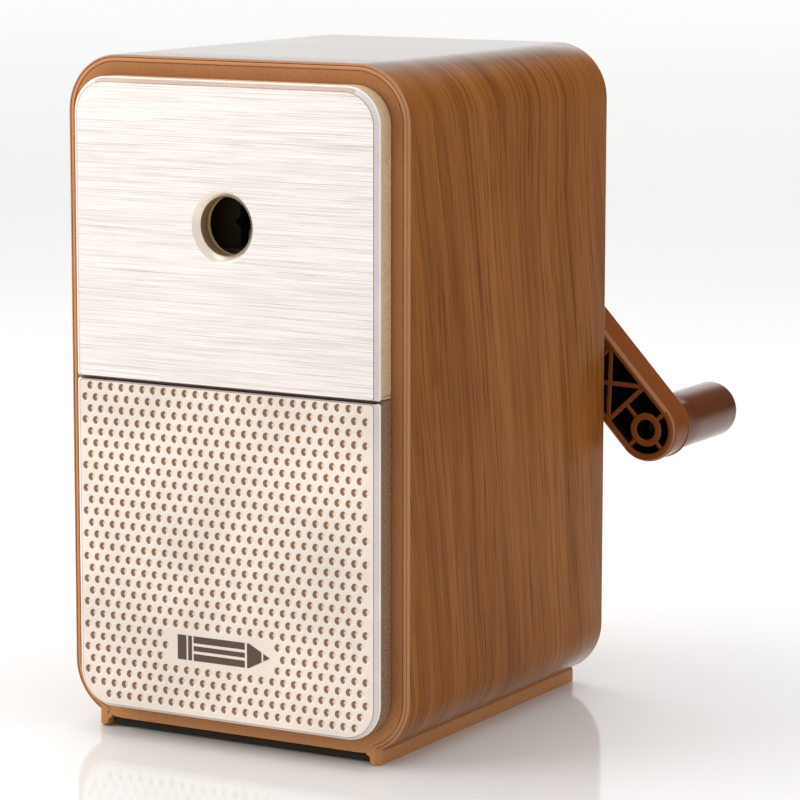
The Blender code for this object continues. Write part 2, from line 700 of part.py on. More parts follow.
def jaw_spring(carriage):
    """Coil between the left jaw's tab and the right jaw's tail; it closes both jaws."""
    quarter_turn = (0, 0, math.radians(-90))
    origin = empty("jaw_spring_seat", carriage, (0, 5.6 * MM, PENCIL_Z), quarter_turn)
    start = -TAB_INNER + 0.8 * MM
    end = -JAW_TAIL - GAP
    body = coil(1.3 * MM, 0.3 * MM, start, end, turns=7, steps_per_turn=8, sides=4)
    to_object("jaw_spring", body, origin, "spring_steel", smooth=60)


def guide_rods(carriage):
    """Rods that slide through the frame wall, each with a clip on its end for the spring to push."""
    ring = [(ROD_RADIUS + 0.05 * MM, CLIP_FRONT), (ROD_RADIUS + 0.05 * MM, CLIP_BACK)]
    ring += [(CLIP_RADIUS, CLIP_BACK), (CLIP_RADIUS, CLIP_FRONT)]
    for side, x in (("left", -ROD_X), ("right", ROD_X)):
        shaft = rod(ROD_RADIUS, 0.5 * MM, ROD_END, segments=20)
        thing = to_object(f"guide_rod_{side}", shaft, carriage, "steel", smooth=40)
        thing.location = (x, 0, ROD_Z)
        clip = to_object(f"rod_clip_{side}", turned(ring, 20), carriage, "steel", smooth=30)
        clip.location = (x, 0, ROD_Z)


def feed_springs(root):
    """Compression springs round the rods, between the frame wall and the clips on the rods' ends."""
    front = FRAME_WALL_BACK + GAP
    back = CLIP_FRONT - GAP
    for side, x in (("left", -ROD_X), ("right", ROD_X)):
        body = coil(FEED_SPRING_RADIUS, FEED_SPRING_WIRE, front, back, turns=12, steps_per_turn=8, sides=4)
        thing = to_object(f"feed_spring_{side}", body, root, "spring_steel", smooth=60)
        thing.location = (x, 0, ROD_Z)


# ---------------------------------------------------------------- crank and cutter


def cutter_cage(crank):
    """Turning cage: front disc, half-round pencil guide, rear disc and hub."""
    front_disc = cylinder(CAGE_RADIUS, CAGE_FRONT, CAGE_DISC_BACK, 40)
    thing = to_object("cutter_cage", front_disc, crank, "grey_plastic", smooth=30)
    steps = 12
    angles = [math.radians(190 + 160 * step / steps) for step in range(steps + 1)]
    guide_front = CAGE_DISC_BACK - 0.8 * MM
    profile = [(5.2 * MM, guide_front), (8.6 * MM, guide_front), (8.6 * MM, GUIDE_BACK)]
    profile += [(1.3 * MM, GUIDE_BACK), (1.3 * MM, GUIDE_BACK - 5.5 * MM)]
    guide = [[(radius * math.cos(a), y, radius * math.sin(a)) for radius, y in profile] for a in angles]
    join(thing, bridge(guide, closed=False))
    join(thing, cylinder(CAGE_RADIUS - 2.5 * MM, GUIDE_BACK - 0.9 * MM, CAGE_REAR_DISC_BACK, 40))
    join(thing, cylinder(CAGE_HUB_RADIUS, CAGE_REAR_DISC_BACK - 1.2 * MM, CAGE_BACK, 32))
    cut(thing, cylinder(CAGE_HOLE_RADIUS, CAGE_FRONT - 1 * MM, CAGE_DISC_BACK + 0.1 * MM, 32))
    cut(thing, cylinder(SHAFT_RADIUS + GAP, SHAFT_FRONT - GAP, CAGE_BACK + 1 * MM, 24))
    axle_hole = cylinder(AXLE_RADIUS + GAP, -AXLE_FRONT - 4 * MM, -AXLE_BACK + GAP)
    cut(thing, axle_hole, (0, APEX_Y, 0), (-CUTTER_TILT, 0, 0))


def cutter_axle(crank):
    pin = rod(AXLE_RADIUS, -AXLE_FRONT, -AXLE_BACK, 0.2 * MM, 16)
    thing = to_object("cutter_axle", pin, crank, "steel", smooth=40)
    thing.location = (0, APEX_Y, 0)
    thing.rotation_euler = (-CUTTER_TILT, 0, 0)


def helical_cutter(cutter):
    """Sawtooth blades round a core, twisted along the cutter's axis."""
    valley = CUTTER_RADIUS - 0.9 * MM
    blade_points = ((CUTTER_RADIUS, 0.0), (valley, 0.16), (valley + 0.25 * MM, 0.62))
    pitch = 2 * math.pi / CUTTER_BLADES
    slices = 8
    sections = []
    for index in range(slices + 1):
        share = index / slices
        y = -CUTTER_FRONT + (CUTTER_FRONT - CUTTER_BACK) * share
        ring = []
        for blade in range(CUTTER_BLADES):
            start = blade * pitch + CUTTER_TWIST * share
            for radius, part in blade_points:
                angle = start + part * pitch
                ring.append((radius * math.cos(angle), y, radius * math.sin(angle)))
        sections.append(ring)
    bore = disc_outline(CUTTER_BORE, len(sections[0]))
    sections += [along_y(bore, -CUTTER_BACK), along_y(bore, -CUTTER_FRONT)]
    to_object("helical_cutter", bridge(sections, closed=True), cutter, "steel", smooth=20)


def cutter_pinion(cutter):
    distance = PINION_RADIUS / math.tan(pinion_cone_angle())
    tip = PINION_RADIUS + TOOTH_HEIGHT
    rooted = PINION_RADIUS - TOOTH_ROOT
    toothed = gear_outline(PINION_TEETH, tip, rooted, 0.26, 0.50)
    bore = [tuple(Vector(point).normalized() * CUTTER_BORE) for point in toothed]
    body = bridge(
        [
            scaled_to_apex(toothed, distance, GEAR_FRONT_SCALE),
            scaled_to_apex(toothed, distance, GEAR_BACK_SCALE),
            along_y(bore, -distance * GEAR_BACK_SCALE),
            along_y(bore, -distance * GEAR_FRONT_SCALE),
        ],
        closed=True,
    )
    to_object("cutter_pinion", body, cutter, "white_acetal", smooth=20)


def crank_shaft(crank):
    thing = to_object("crank_shaft", rod(SHAFT_RADIUS, SHAFT_FRONT, SHAFT_BACK), crank, "steel", smooth=40)
    cut(thing, cylinder(HUB_SCREW_RADIUS + GAP, SHAFT_BACK - 8 * MM, SHAFT_BACK + 1 * MM))


def arm_outline(inset):
    """Two half circles joined by straight sides; local x runs from the hub to the grip."""
    radius = ARM_RADIUS - inset
    steps = 12
    outline = []
    for centre, start in ((CRANK_REACH, -math.pi / 2), (0, math.pi / 2)):
        for step in range(steps + 1):
            angle = start + math.pi * step / steps
            outline.append((centre + radius * math.cos(angle), radius * math.sin(angle)))
    return outline


def crank_arm(arm):
    """Arm hollowed from its inner side; hub, grip boss, bars and crossed ribs are left standing."""
    body = prism(arm_outline(0), ARM_INNER, ARM_OUTER)
    thing = to_object("crank_arm", body, arm, "brown_plastic", smooth=30)
    pocket_floor = ARM_OUTER - ARM_WEB
    pocket = cut(thing, prism(arm_outline(ARM_WALL), ARM_INNER - 1 * MM, pocket_floor))
    before = ARM_INNER - 2 * MM
    behind = pocket_floor + 1 * MM
    at_grip = (CRANK_REACH, 0, 0)
    cut(pocket, cylinder(HUB_RADIUS, before, behind, 24))
    cut(pocket, cylinder(GRIP_BOSS_RADIUS, before, behind, 24), at_grip)
    half = RIB_WIDTH / 2
    for index in range(BAYS):
        bar_x = CRANK_REACH - BAR_DISTANCE - BAY * index
        cut(pocket, box((bar_x - half, before, -ARM_RADIUS), (bar_x + half, behind, ARM_RADIUS)))
        cross_x = CRANK_REACH - CROSS_DISTANCE - BAY * index
        for turn in (45, -45):
            rib = box((-ARM_RADIUS, before, -half), (ARM_RADIUS, behind, half))
            cut(pocket, rib, (cross_x, 0, 0), (0, math.radians(turn), 0))
    cut(pocket, box((CRANK_REACH - BAR_DISTANCE, before, -half), (CRANK_REACH + ARM_RADIUS, behind, half)))
    cut(pocket, box((CRANK_REACH - half, before, -ARM_RADIUS), (CRANK_REACH + half, behind, ARM_RADIUS)))
    cut(thing, cylinder(PIN_RADIUS + GAP, before, ARM_OUTER + 1 * MM, 20), at_grip)
    cut(thing, cylinder(SHAFT_RADIUS + GAP, before, SHAFT_BACK + GAP, 24))
    cut(thing, cylinder(HUB_SCREW_RADIUS + GAP, SHAFT_BACK - 1 * MM, ARM_OUTER + 1 * MM))


def crank_screw(crank):
    seat = ARM_OUTER + GAP
    profile = [(0, seat - 11 * MM), (HUB_SCREW_RADIUS, seat - 10.4 * MM), (HUB_SCREW_RADIUS, seat)]
    profile += [(3.4 * MM, seat), (3.2 * MM, seat + 1.2 * MM), (2 * MM, seat + 1.8 * MM)]
    profile.append((0, seat + 1.8 * MM))
    to_object("crank_screw", turned(profile, 20), crank, "steel", smooth=40)


def grip_pin(arm):
    pin = rod(PIN_RADIUS, ARM_INNER + 4.5 * MM, GRIP_END - 3.4 * MM, segments=20)
    thing = to_object("grip_pin", pin, arm, "steel", smooth=40)
    thing.location = (CRANK_REACH, 0, 0)


def crank_grip(grip):
    bore = PIN_RADIUS + RUNNING
    bore_end = GRIP_END - 3 * MM
    profile = [(0, bore_end), (bore, bore_end), (bore, GRIP_START)]
    profile += [(GRIP_RADIUS - 0.4 * MM, GRIP_START), (GRIP_RADIUS, GRIP_START + 0.4 * MM)]
    steps = 4
    for step in range(steps + 1):
        angle = math.radians(90 * step / steps)
        radius = GRIP_RADIUS - GRIP_EDGE + GRIP_EDGE * math.cos(angle)
        profile.append((radius, GRIP_END - GRIP_EDGE + GRIP_EDGE * math.sin(angle)))
    profile.append((0, GRIP_END))
    to_object("crank_grip", turned(profile, 32), grip, "brown_plastic", smooth=40)


# ---------------------------------------------------------------- drawer


def drawer_front(drawer):
    to_object("drawer_front", panel_skin(lower_panel_outline), drawer, "cream_plastic", smooth=30)


def drawer_tray(drawer):
    """Front plate behind the skin and the open box that collects the shavings."""
    front = -PANEL_PROUD + PANEL_SKIN + GAP
    plate_back = -GAP
    body = prism(lower_panel_outline(), front, plate_back)
    thing = to_object("drawer_tray", body, drawer, "tea_plastic", smooth=30)
    outside = rounded_rectangle(TRAY_HALF_WIDTH, TRAY_BOTTOM, TRAY_TOP, TRAY_RADIUS, SHARP_CORNER, 4)
    join(thing, prism(outside, plate_back - 0.5 * MM, TRAY_BACK))
    half_width = TRAY_HALF_WIDTH - TRAY_WALL
    above = TRAY_TOP + 5 * MM
    inner_radius = TRAY_RADIUS - TRAY_WALL
    inside = rounded_rectangle(half_width, TRAY_BOTTOM + TRAY_WALL, above, inner_radius, SHARP_CORNER, 4)
    cut(thing, prism(inside, TRAY_WALL, TRAY_BACK - TRAY_WALL))


def build():
    for old in list(bpy.data.objects):
        bpy.data.objects.remove(old, do_unlink=True)
    root = empty("sharpener", None, (-CENTRE_X, -CENTRE_Y, 0))

    casing_sleeve(root)
    front_bezel(root)
    rear_cover(root)
    base_plate(root)
    base_screws(root)
    rear_screws(root)
    drawer_rails(root)
    mechanism_frame(root)
    ring_gear(root)
    gear_screws(root)
    shaft_bushing(root)
    feed_springs(root)

    carriage = empty("faceplate_pull", root)
    faceplate_skin(carriage)
    faceplate_carrier(carriage)
    jaw_retainer(carriage)
    retainer_screws(carriage)
    gripping_jaws(carriage)
    jaw_spring(carriage)
    guide_rods(carriage)

    crank = empty("crank_axis", root, (0, 0, PENCIL_Z))
    cutter_cage(crank)
    cutter_axle(crank)
    crank_shaft(crank)
    crank_screw(crank)
    arm = empty("crank_arm_line", crank, (0, 0, 0), (0, -CRANK_ANGLE, 0))
    crank_arm(arm)
    grip_pin(arm)
    grip = empty("grip_axis", arm, (CRANK_REACH, 0, 0))
    crank_grip(grip)
    cutter = empty("cutter_axis", crank, (0, APEX_Y, 0), (-CUTTER_TILT, 0, 0))
    helical_cutter(cutter)
    cutter_pinion(cutter)

    drawer = empty("drawer_slide", root)
    drawer_front(drawer)
    drawer_tray(drawer)


build()
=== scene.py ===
"""Looks for the crank pencil sharpener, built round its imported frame.

Lengths are written in millimetres in a casing frame: x = 0 on the middle plane, y = 0 on the front
rim and z = 0 on the floor. place() turns them into the row frame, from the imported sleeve's own box.
"""

import json
import math

import bmesh
import bpy
import numpy as np
from mathutils import Matrix, Vector, geometry


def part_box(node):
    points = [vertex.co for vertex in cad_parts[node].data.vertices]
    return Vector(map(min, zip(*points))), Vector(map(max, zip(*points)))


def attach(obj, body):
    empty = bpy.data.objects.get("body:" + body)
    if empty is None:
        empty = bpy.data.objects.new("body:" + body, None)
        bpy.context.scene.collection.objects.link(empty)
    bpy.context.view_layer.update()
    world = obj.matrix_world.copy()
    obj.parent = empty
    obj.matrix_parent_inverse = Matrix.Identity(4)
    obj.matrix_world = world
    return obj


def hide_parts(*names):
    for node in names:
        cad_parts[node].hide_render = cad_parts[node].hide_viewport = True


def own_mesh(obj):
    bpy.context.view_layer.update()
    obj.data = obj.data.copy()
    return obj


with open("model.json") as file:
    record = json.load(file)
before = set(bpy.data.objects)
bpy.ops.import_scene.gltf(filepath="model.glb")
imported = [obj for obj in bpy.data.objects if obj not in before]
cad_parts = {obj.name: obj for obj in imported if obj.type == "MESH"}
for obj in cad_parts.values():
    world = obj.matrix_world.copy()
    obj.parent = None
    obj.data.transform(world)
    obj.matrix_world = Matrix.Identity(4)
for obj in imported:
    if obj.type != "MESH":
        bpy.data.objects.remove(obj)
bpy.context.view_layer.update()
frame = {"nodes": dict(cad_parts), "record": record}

MM = 0.001

# Wood grain: how far it leans in each metre
GRAIN_LEAN = 0.13

# Casing
HALF_WIDTH = 36.3
CASING_SHIFT = -0.3
DEPTH = 78.0
SLEEVE_BOTTOM = 2.0
SLEEVE_TOP = 127.0
CORNER_RADIUS = 10.6
SLEEVE_WALL = 1.6
BACK_ROUND = 0.75
FRONT_ROUND = 0.38
LIP = 0.42
LIP_DEPTH = 2.8

# Bezel; its numbers across the rim are insets from the casing's outline
BEAD_OUTER = 0.50
BEAD_INNER = 1.20
GROOVE = 0.10
GROOVE_DEPTH = 0.22
BEZEL_RIM = 5.5
BEZEL_DEPTH = 9.0

# Apron below the drawer, and the sleeve's recess behind it
APRON_SIDE = 29.1
APRON_HEIGHT = 6.0
RECESS_SIDE = APRON_SIDE - 1.6
RECESS_DEPTH = 1.1

# Runners by side: inner and outer x, lift of the front end, and (outer, inner) top in front and behind
RUNNERS = {
    -1: {"across": (29.4, 31.6), "lift": 0.4, "front_top": (4.3, 3.9), "top": (3.6, 2.7)},
    1: {"across": (28.0, 29.85), "lift": 0.0, "front_top": (3.3, 3.3), "top": (2.86, 2.28)},
}
RUNNER_FRONT = -0.03
PLATE_SIDE = 28.5
PLATE_LOW = 0.6
PLATE_HIGH = 1.75

# Panels: the split, the skins and the plates behind them
SPLIT_Z = 67.5
SPLIT_GAP = 0.42
PANEL_HALF_WIDTH = 32.5
PANEL_BOTTOM = 5.4
PANEL_TOP = 123.3
PANEL_RADIUS = 7.0
PANEL_PROUD = 4.8
PANEL_SKIN = 0.88
PANEL_INSET = 0.96
BACKING_INSET = 0.05
BACKING_END = -3.02
TONGUE_TOP = 68.3
SPLIT_BEVEL = 0.2
SHARP_CORNER = 0.6
PENCIL_Z = 97.1
HOLE_RADIUS = 5.4
HOLE_MOUTH = 6.5
HOLE_STEP = -1.3

# Dimples; the profile is (share of the radius, depth)
DIMPLE_RADIUS = 0.785
DIMPLE_PITCH_X = 2.316
DIMPLE_PITCH_Z = 2.155
DIMPLE_ROWS = 28
DIMPLE_FIRST_ROW = 1.23
DIMPLE_SHIFT = -0.2
DIMPLE_PROFILE = ((1.14, 0.0), (1.02, 0.03), (0.97, 0.10), (0.87, 0.25), (0.66, 0.41), (0.34, 0.52))
DIMPLE_DEPTH = 0.56

# Pencil sign on the drawer, and the room that the dimples leave for it
MARK_X = -0.3
MARK_Z = 18.7
MARK_HALF_WIDTH = 11.6
MARK_HALF_HEIGHT = 3.2
MARK_STRETCH = 1.85

# Crank; the ends are y values
CRANK_REACH = 62.8
CRANK_ANGLE = math.radians(-47)
ARM_INNER = 82.0
ARM_OUTER = 89.6
ARM_RADIUS = 6.4
ARM_WALL = 1.6
ARM_WEB = 1.9
GRIP_RADIUS = 5.6
GRIP_START = 89.9
GRIP_END = 113.9

# Springs; a coil is (mean radius, wire radius, turns)
FEED_COIL = (2.6, 0.35, 12)
JAW_COIL = (1.3, 0.3, 7)
ROD_X = 24.0
ROD_Z = 77.5
FEED_SPRING_START = 28.3
FEED_SPRING_END = 71.7
JAW_SPRING_Y = 5.6
JAW_SPRING_START = -25.2
JAW_SPRING_END = -11.3

# Camera: a long lens from the front right, a little above; offset from the sleeve's lower front edge
CAMERA_OFFSET = Vector((347.49, -547.93, 164.95))
CAMERA_YAW = math.radians(29.762)
CAMERA_PITCH = math.radians(8.942)
CAMERA_ROLL = math.radians(0.067)
CAMERA_LENS = 161.8

# Studio
WORLD_BRIGHT = 0.77
WORLD_DARK = 0.84
WORLD_BAND = 0.32
FLOOR_SIZE = 4.0
LIGHT_AIM = (0, 30, 50)
LIGHTS = (
    # name, place, size in metres, power in watts, colour
    ("overhead", (-60, 220, 580), 0.75, 2.0, (1.0, 0.99, 0.98)),
    ("key", (-490, -385, 380), 0.45, 2.5, (1.0, 0.985, 0.965)),
)

sleeve_low, sleeve_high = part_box("casing_sleeve")
ORIGIN = Vector(((sleeve_low.x + sleeve_high.x) / 2, sleeve_low.y, sleeve_low.z - SLEEVE_BOTTOM * MM))


def place(point):
    """Casing millimetres to the row frame's metres."""
    return ORIGIN + Vector(point) * MM


# ---------------------------------------------------------------- mesh tools


def new_object(name, data):
    """Object of a mesh, camera or light."""
    thing = bpy.data.objects.new(name, data)
    bpy.context.scene.collection.objects.link(thing)
    return thing


def to_object(name, body, smooth=30, matrix=None):
    """Turn a bmesh in casing millimetres into an object; edges sharper than smooth degrees stay sharp."""
    bmesh.ops.recalc_face_normals(body, faces=body.faces)
    if matrix:
        body.transform(matrix)
    for vertex in body.verts:
        vertex.co = place(vertex.co)
    mesh = bpy.data.meshes.new(name)
    body.to_mesh(mesh)
    body.free()
    mesh.shade_smooth()
    mesh.set_sharp_from_angle(angle=math.radians(smooth))
    return new_object(name, mesh)


def piece(thing, body, replaced=(), materials=()):
    """Ride an object on a body, hide the nodes it replaces, and give it its materials."""
    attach(thing, body)
    if replaced:
        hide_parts(*replaced)
    for item in materials:
        thing.data.materials.append(item)
    return thing


def rounded_outline(half_width, bottom, top, bottom_radius, top_radius, steps=20):
    """(x, z) loop that starts at the middle of the bottom edge and goes up the right side first."""
    outline = [(0.0, bottom)]
    corners = [
        (half_width - bottom_radius, bottom + bottom_radius, bottom_radius, -90),
        (half_width - top_radius, top - top_radius, top_radius, 0),
        (-half_width + top_radius, top - top_radius, top_radius, 90),
        (-half_width + bottom_radius, bottom + bottom_radius, bottom_radius, 180),
    ]
    for x, z, radius, start in corners:
        for step in range(steps + 1):
            angle = math.radians(start + 90 * step / steps)
            outline.append((x + radius * math.cos(angle), z + radius * math.sin(angle)))
    return outline


def casing_outline(inset, steps=20):
    """The casing's (x, z) outline, moved inwards by inset."""
    radius = CORNER_RADIUS - inset
    outline = rounded_outline(
        HALF_WIDTH - inset, SLEEVE_BOTTOM + inset, SLEEVE_TOP - inset, radius, radius, steps
    )
    return [(x + CASING_SHIFT, z) for x, z in outline]


def quarter(steps):
    """Angles from 0 to 90 degrees, in radians."""
    return [math.radians(90 * step / steps) for step in range(steps + 1)]


def at_y(outline, y):
    """Points of an (x, z) outline at y."""
    return [(x, y, z) for x, z in outline]


def bridge(sections, closed=False):
    """Quads between loops of equal length; an open run is capped, a closed one joins its ends."""
    body = bmesh.new()
    loops = [[body.verts.new(point) for point in section] for section in sections]
    pairs = list(zip(loops, loops[1:]))
    if closed:
        pairs.append((loops[-1], loops[0]))
    else:
        body.faces.new(loops[0])
        body.faces.new(loops[-1])
    for first, second in pairs:
        for index in range(len(first)):
            following = (index + 1) % len(first)
            body.faces.new((first[index], first[following], second[following], second[index]))
    return body


def new_loop(body, outline, y):
    """Vertices of an (x, z) outline at y."""
    return [body.verts.new(point) for point in at_y(outline, y)]


def new_faces(body, verts, triangles):
    """Faces in body from lists of indices into verts."""
    return [body.faces.new([verts[index] for index in ids]) for ids in triangles]


def add_loops(body, loops):
    """Quads between closed vertex loops that are already in body; returns the faces."""
    faces = []
    for first, second in zip(loops, loops[1:]):
        count = len(first)
        for index in range(count):
            following = (index + 1) % count
            faces.append(body.faces.new((first[index], first[following], second[following], second[index])))
    return faces


def turned(profile, segments=64):
    """Turn (radius, y) points round the Y axis; a point with no radius closes the end."""
    body = bmesh.new()
    rings = []
    for radius, y in profile:
        if radius == 0:
            rings.append([body.verts.new((0, y, 0))])
            continue
        angles = [2 * math.pi * index / segments for index in range(segments)]
        rings.append([body.verts.new((radius * math.cos(a), y, radius * math.sin(a))) for a in angles])
    pairs = list(zip(rings, rings[1:]))
    if len(rings[0]) > 1:
        pairs.append((rings[-1], rings[0]))
    for first, second in pairs:
        for index in range(segments):
            following = (index + 1) % segments
            if len(first) == 1:
                body.faces.new((first[0], second[following], second[index]))
            elif len(second) == 1:
                body.faces.new((first[index], first[following], second[0]))
            else:
                body.faces.new((first[index], first[following], second[following], second[index]))
    return body


def join_into(body, other):
    """Add another bmesh's faces to body."""
    mesh = bpy.data.meshes.new("part")
    other.to_mesh(mesh)
    other.free()
    body.from_mesh(mesh)
    bpy.data.meshes.remove(mesh)


def disc(radius, count, centre=(0.0, 0.0)):
    """(x, z) circle of count points."""
    angles = [2 * math.pi * index / count for index in range(count)]
    return [(centre[0] + radius * math.cos(a), centre[1] + radius * math.sin(a)) for a in angles]


def fill_with_holes(outline, holes):
    """Triangles between an outer loop and holes; they index the loops' points in the given order."""
    points = list(outline)
    loops = [list(range(len(outline)))]
    for hole in holes:
        start = len(points)
        points += hole
        loops.append(list(range(start, start + len(hole))))
    owner = np.zeros(len(points), dtype=int)
    for number, loop in enumerate(loops):
        owner[loop] = number
    edges = [(a, b) for loop in loops for a, b in zip(loop, loop[1:] + loop[:1])]
    vectors = [Vector(point) for point in points]
    made = geometry.delaunay_2d_cdt(vectors, edges, [loops[0]], 1, 1e-7)
    triangles = made[2]
    original = [source[0] for source in made[3]]
    kept = []
    for triangle in triangles:
        ids = [original[index] for index in triangle]
        group = {int(owner[index]) for index in ids}
        inside_hole = len(group) == 1 and 0 not in group
        if not inside_hole:
            kept.append(ids)
    return kept


# ---------------------------------------------------------------- camera


def place_camera():
    """Camera at the photograph's viewing angle."""
    data = bpy.data.cameras.new("camera")
    data.lens = CAMERA_LENS
    data.sensor_width = 36
    data.clip_start = 0.01
    data.clip_end = 20
    camera = new_object("camera", data)
    turn = Matrix.Rotation(CAMERA_YAW, 3, "Z")
    tilt = Matrix.Rotation(math.radians(90) - CAMERA_PITCH, 3, "X")
    roll = Matrix.Rotation(CAMERA_ROLL, 3, "Z")
    camera.matrix_world = (turn @ tilt @ roll).to_4x4()
    camera.location = place((0, 0, SLEEVE_BOTTOM)) + CAMERA_OFFSET * MM
    bpy.context.scene.camera = camera


# ---------------------------------------------------------------- materials


class Look:
    """A material and the nodes it is made of."""

    def __init__(self, name, color, roughness, metallic=0.0, **sockets):
        self.material = bpy.data.materials.new(name)
        self.material.use_nodes = True
        self.tree = self.material.node_tree
        self.shader = self.tree.nodes["Principled BSDF"]
        self.set("Base Color", (*color, 1))
        self.set("Roughness", roughness)
        self.set("Metallic", metallic)
        for socket, value in sockets.items():
            self.set(socket.replace("_", " "), value)

    def set(self, socket, value):
        self.shader.inputs[socket].default_value = value

    def node(self, kind, links=None, **values):
        """Node with its settings, input values and links."""
        made = self.tree.nodes.new(kind)
        for key, value in values.items():
            if hasattr(made, key):
                setattr(made, key, value)
            else:
                made.inputs[key.replace("_", " ")].default_value = value
        for key, source in (links or {}).items():
            self.tree.links.new(source, made.inputs[key])
        return made

    def coordinates(self, scale, uv=None, offset=(0, 0, 0)):
        """Object or UV coordinates in metres, times scale."""
        if uv:
            source = self.node("ShaderNodeUVMap", uv_map=uv).outputs["UV"]
        else:
            source = self.node("ShaderNodeTexCoord").outputs["Object"]
        return self.node("ShaderNodeMapping", {0: source}, Scale=scale, Location=offset).outputs[0]

    def noise(self, vector, detail=2.0, roughness=0.5):
        values = {"Scale": 1.0, "Detail": detail, "Roughness": roughness}
        return self.node("ShaderNodeTexNoise", {"Vector": vector}, **values).outputs["Fac"]

    def ramp(self, source, stops):
        """Colour ramp; stops are (position, colour or grey)."""
        made = self.node("ShaderNodeValToRGB", {"Fac": source})
        ramp = made.color_ramp
        while len(ramp.elements) < len(stops):
            ramp.elements.new(0.5)
        for element, (position, value) in zip(ramp.elements, stops):
            element.position = position
            element.color = (*value, 1) if isinstance(value, tuple) else (value, value, value, 1)
        return made.outputs["Color"]

    def mix(self, factor, first, second, blend="MIX"):
        """Colour mix of sockets, colours or numbers."""
        made = self.tree.nodes.new("ShaderNodeMix")
        made.data_type = "RGBA"
        made.blend_type = blend
        for socket, value in ((made.inputs[0], factor), (made.inputs[6], first), (made.inputs[7], second)):
            if isinstance(value, bpy.types.NodeSocket):
                self.tree.links.new(value, socket)
            elif isinstance(value, tuple):
                socket.default_value = (*value, 1)
            else:
                socket.default_value = value
        return made.outputs[2]

    def remap(self, source, low, high, new_low=0.0, new_high=1.0):
        made = self.node("ShaderNodeMapRange", {"Value": source})
        for key, value in zip(("From Min", "From Max", "To Min", "To Max"), (low, high, new_low, new_high)):
            made.inputs[key].default_value = value
        return made.outputs[0]

    def link(self, source, socket):
        self.tree.links.new(source, self.shader.inputs[socket])

    def bump(self, source, strength, distance, below=None):
        links = {"Height": source}
        if below:
            links["Normal"] = below
        made = self.node("ShaderNodeBump", links)
        made.inputs["Strength"].default_value = strength
        made.inputs["Distance"].default_value = distance
        return made.outputs[0]


def moulded(name, color, roughness, grain=0.35, grain_scale=2500, speck=0.0, foot=None, **sockets):
    """Moulded plastic: a fine spark-eroded grain, faint colour drift and a little roughness change."""
    look = Look(name, color, roughness, **sockets)
    fine = look.noise(look.coordinates((grain_scale,) * 3), detail=3.0, roughness=0.6)
    broad = look.noise(look.coordinates((60,) * 3), detail=2.0)
    darker = tuple(value * 0.90 for value in color)
    lighter = tuple(min(value * 1.08, 1) for value in color)
    drift = look.ramp(broad, [(0.3, darker), (0.7, lighter)])
    if foot:  # a second colour near the floor, where light comes back from it
        height = look.node("ShaderNodeSeparateXYZ", {0: look.coordinates((1, 1, 1))}).outputs[2]
        drift = look.mix(look.remap(height, 0.003, 0.013, 1.0, 0.0), drift, foot)
    if speck:
        dots = look.remap(fine, 0.38, 0.66, 1 - speck, 1 + speck)
        grey = look.node("ShaderNodeCombineColor", {0: dots, 1: dots, 2: dots}).outputs[0]
        drift = look.mix(1.0, drift, grey, "MULTIPLY")
    look.link(drift, "Base Color")
    look.link(look.remap(fine, 0.3, 0.7, max(roughness - 0.06, 0.02), roughness + 0.08), "Roughness")
    look.link(look.bump(fine, grain, 0.00006), "Normal")
    return look.material


def turned_metal(name, color, roughness, ring_scale=4000):
    """Machined metal: fine rings along the axis and slight stains."""
    look = Look(name, color, roughness, metallic=1.0)
    rings = look.noise(look.coordinates((200, ring_scale, 200)), detail=2.0)
    stain = look.noise(look.coordinates((120,) * 3), detail=4.0)
    darker = tuple(value * 0.72 for value in color)
    look.link(look.ramp(stain, [(0.35, darker), (0.65, color)]), "Base Color")
    look.link(look.remap(rings, 0.3, 0.7, roughness * 0.8, roughness * 1.4), "Roughness")
    look.link(look.bump(rings, 0.25, 0.00003), "Normal")
    return look.material


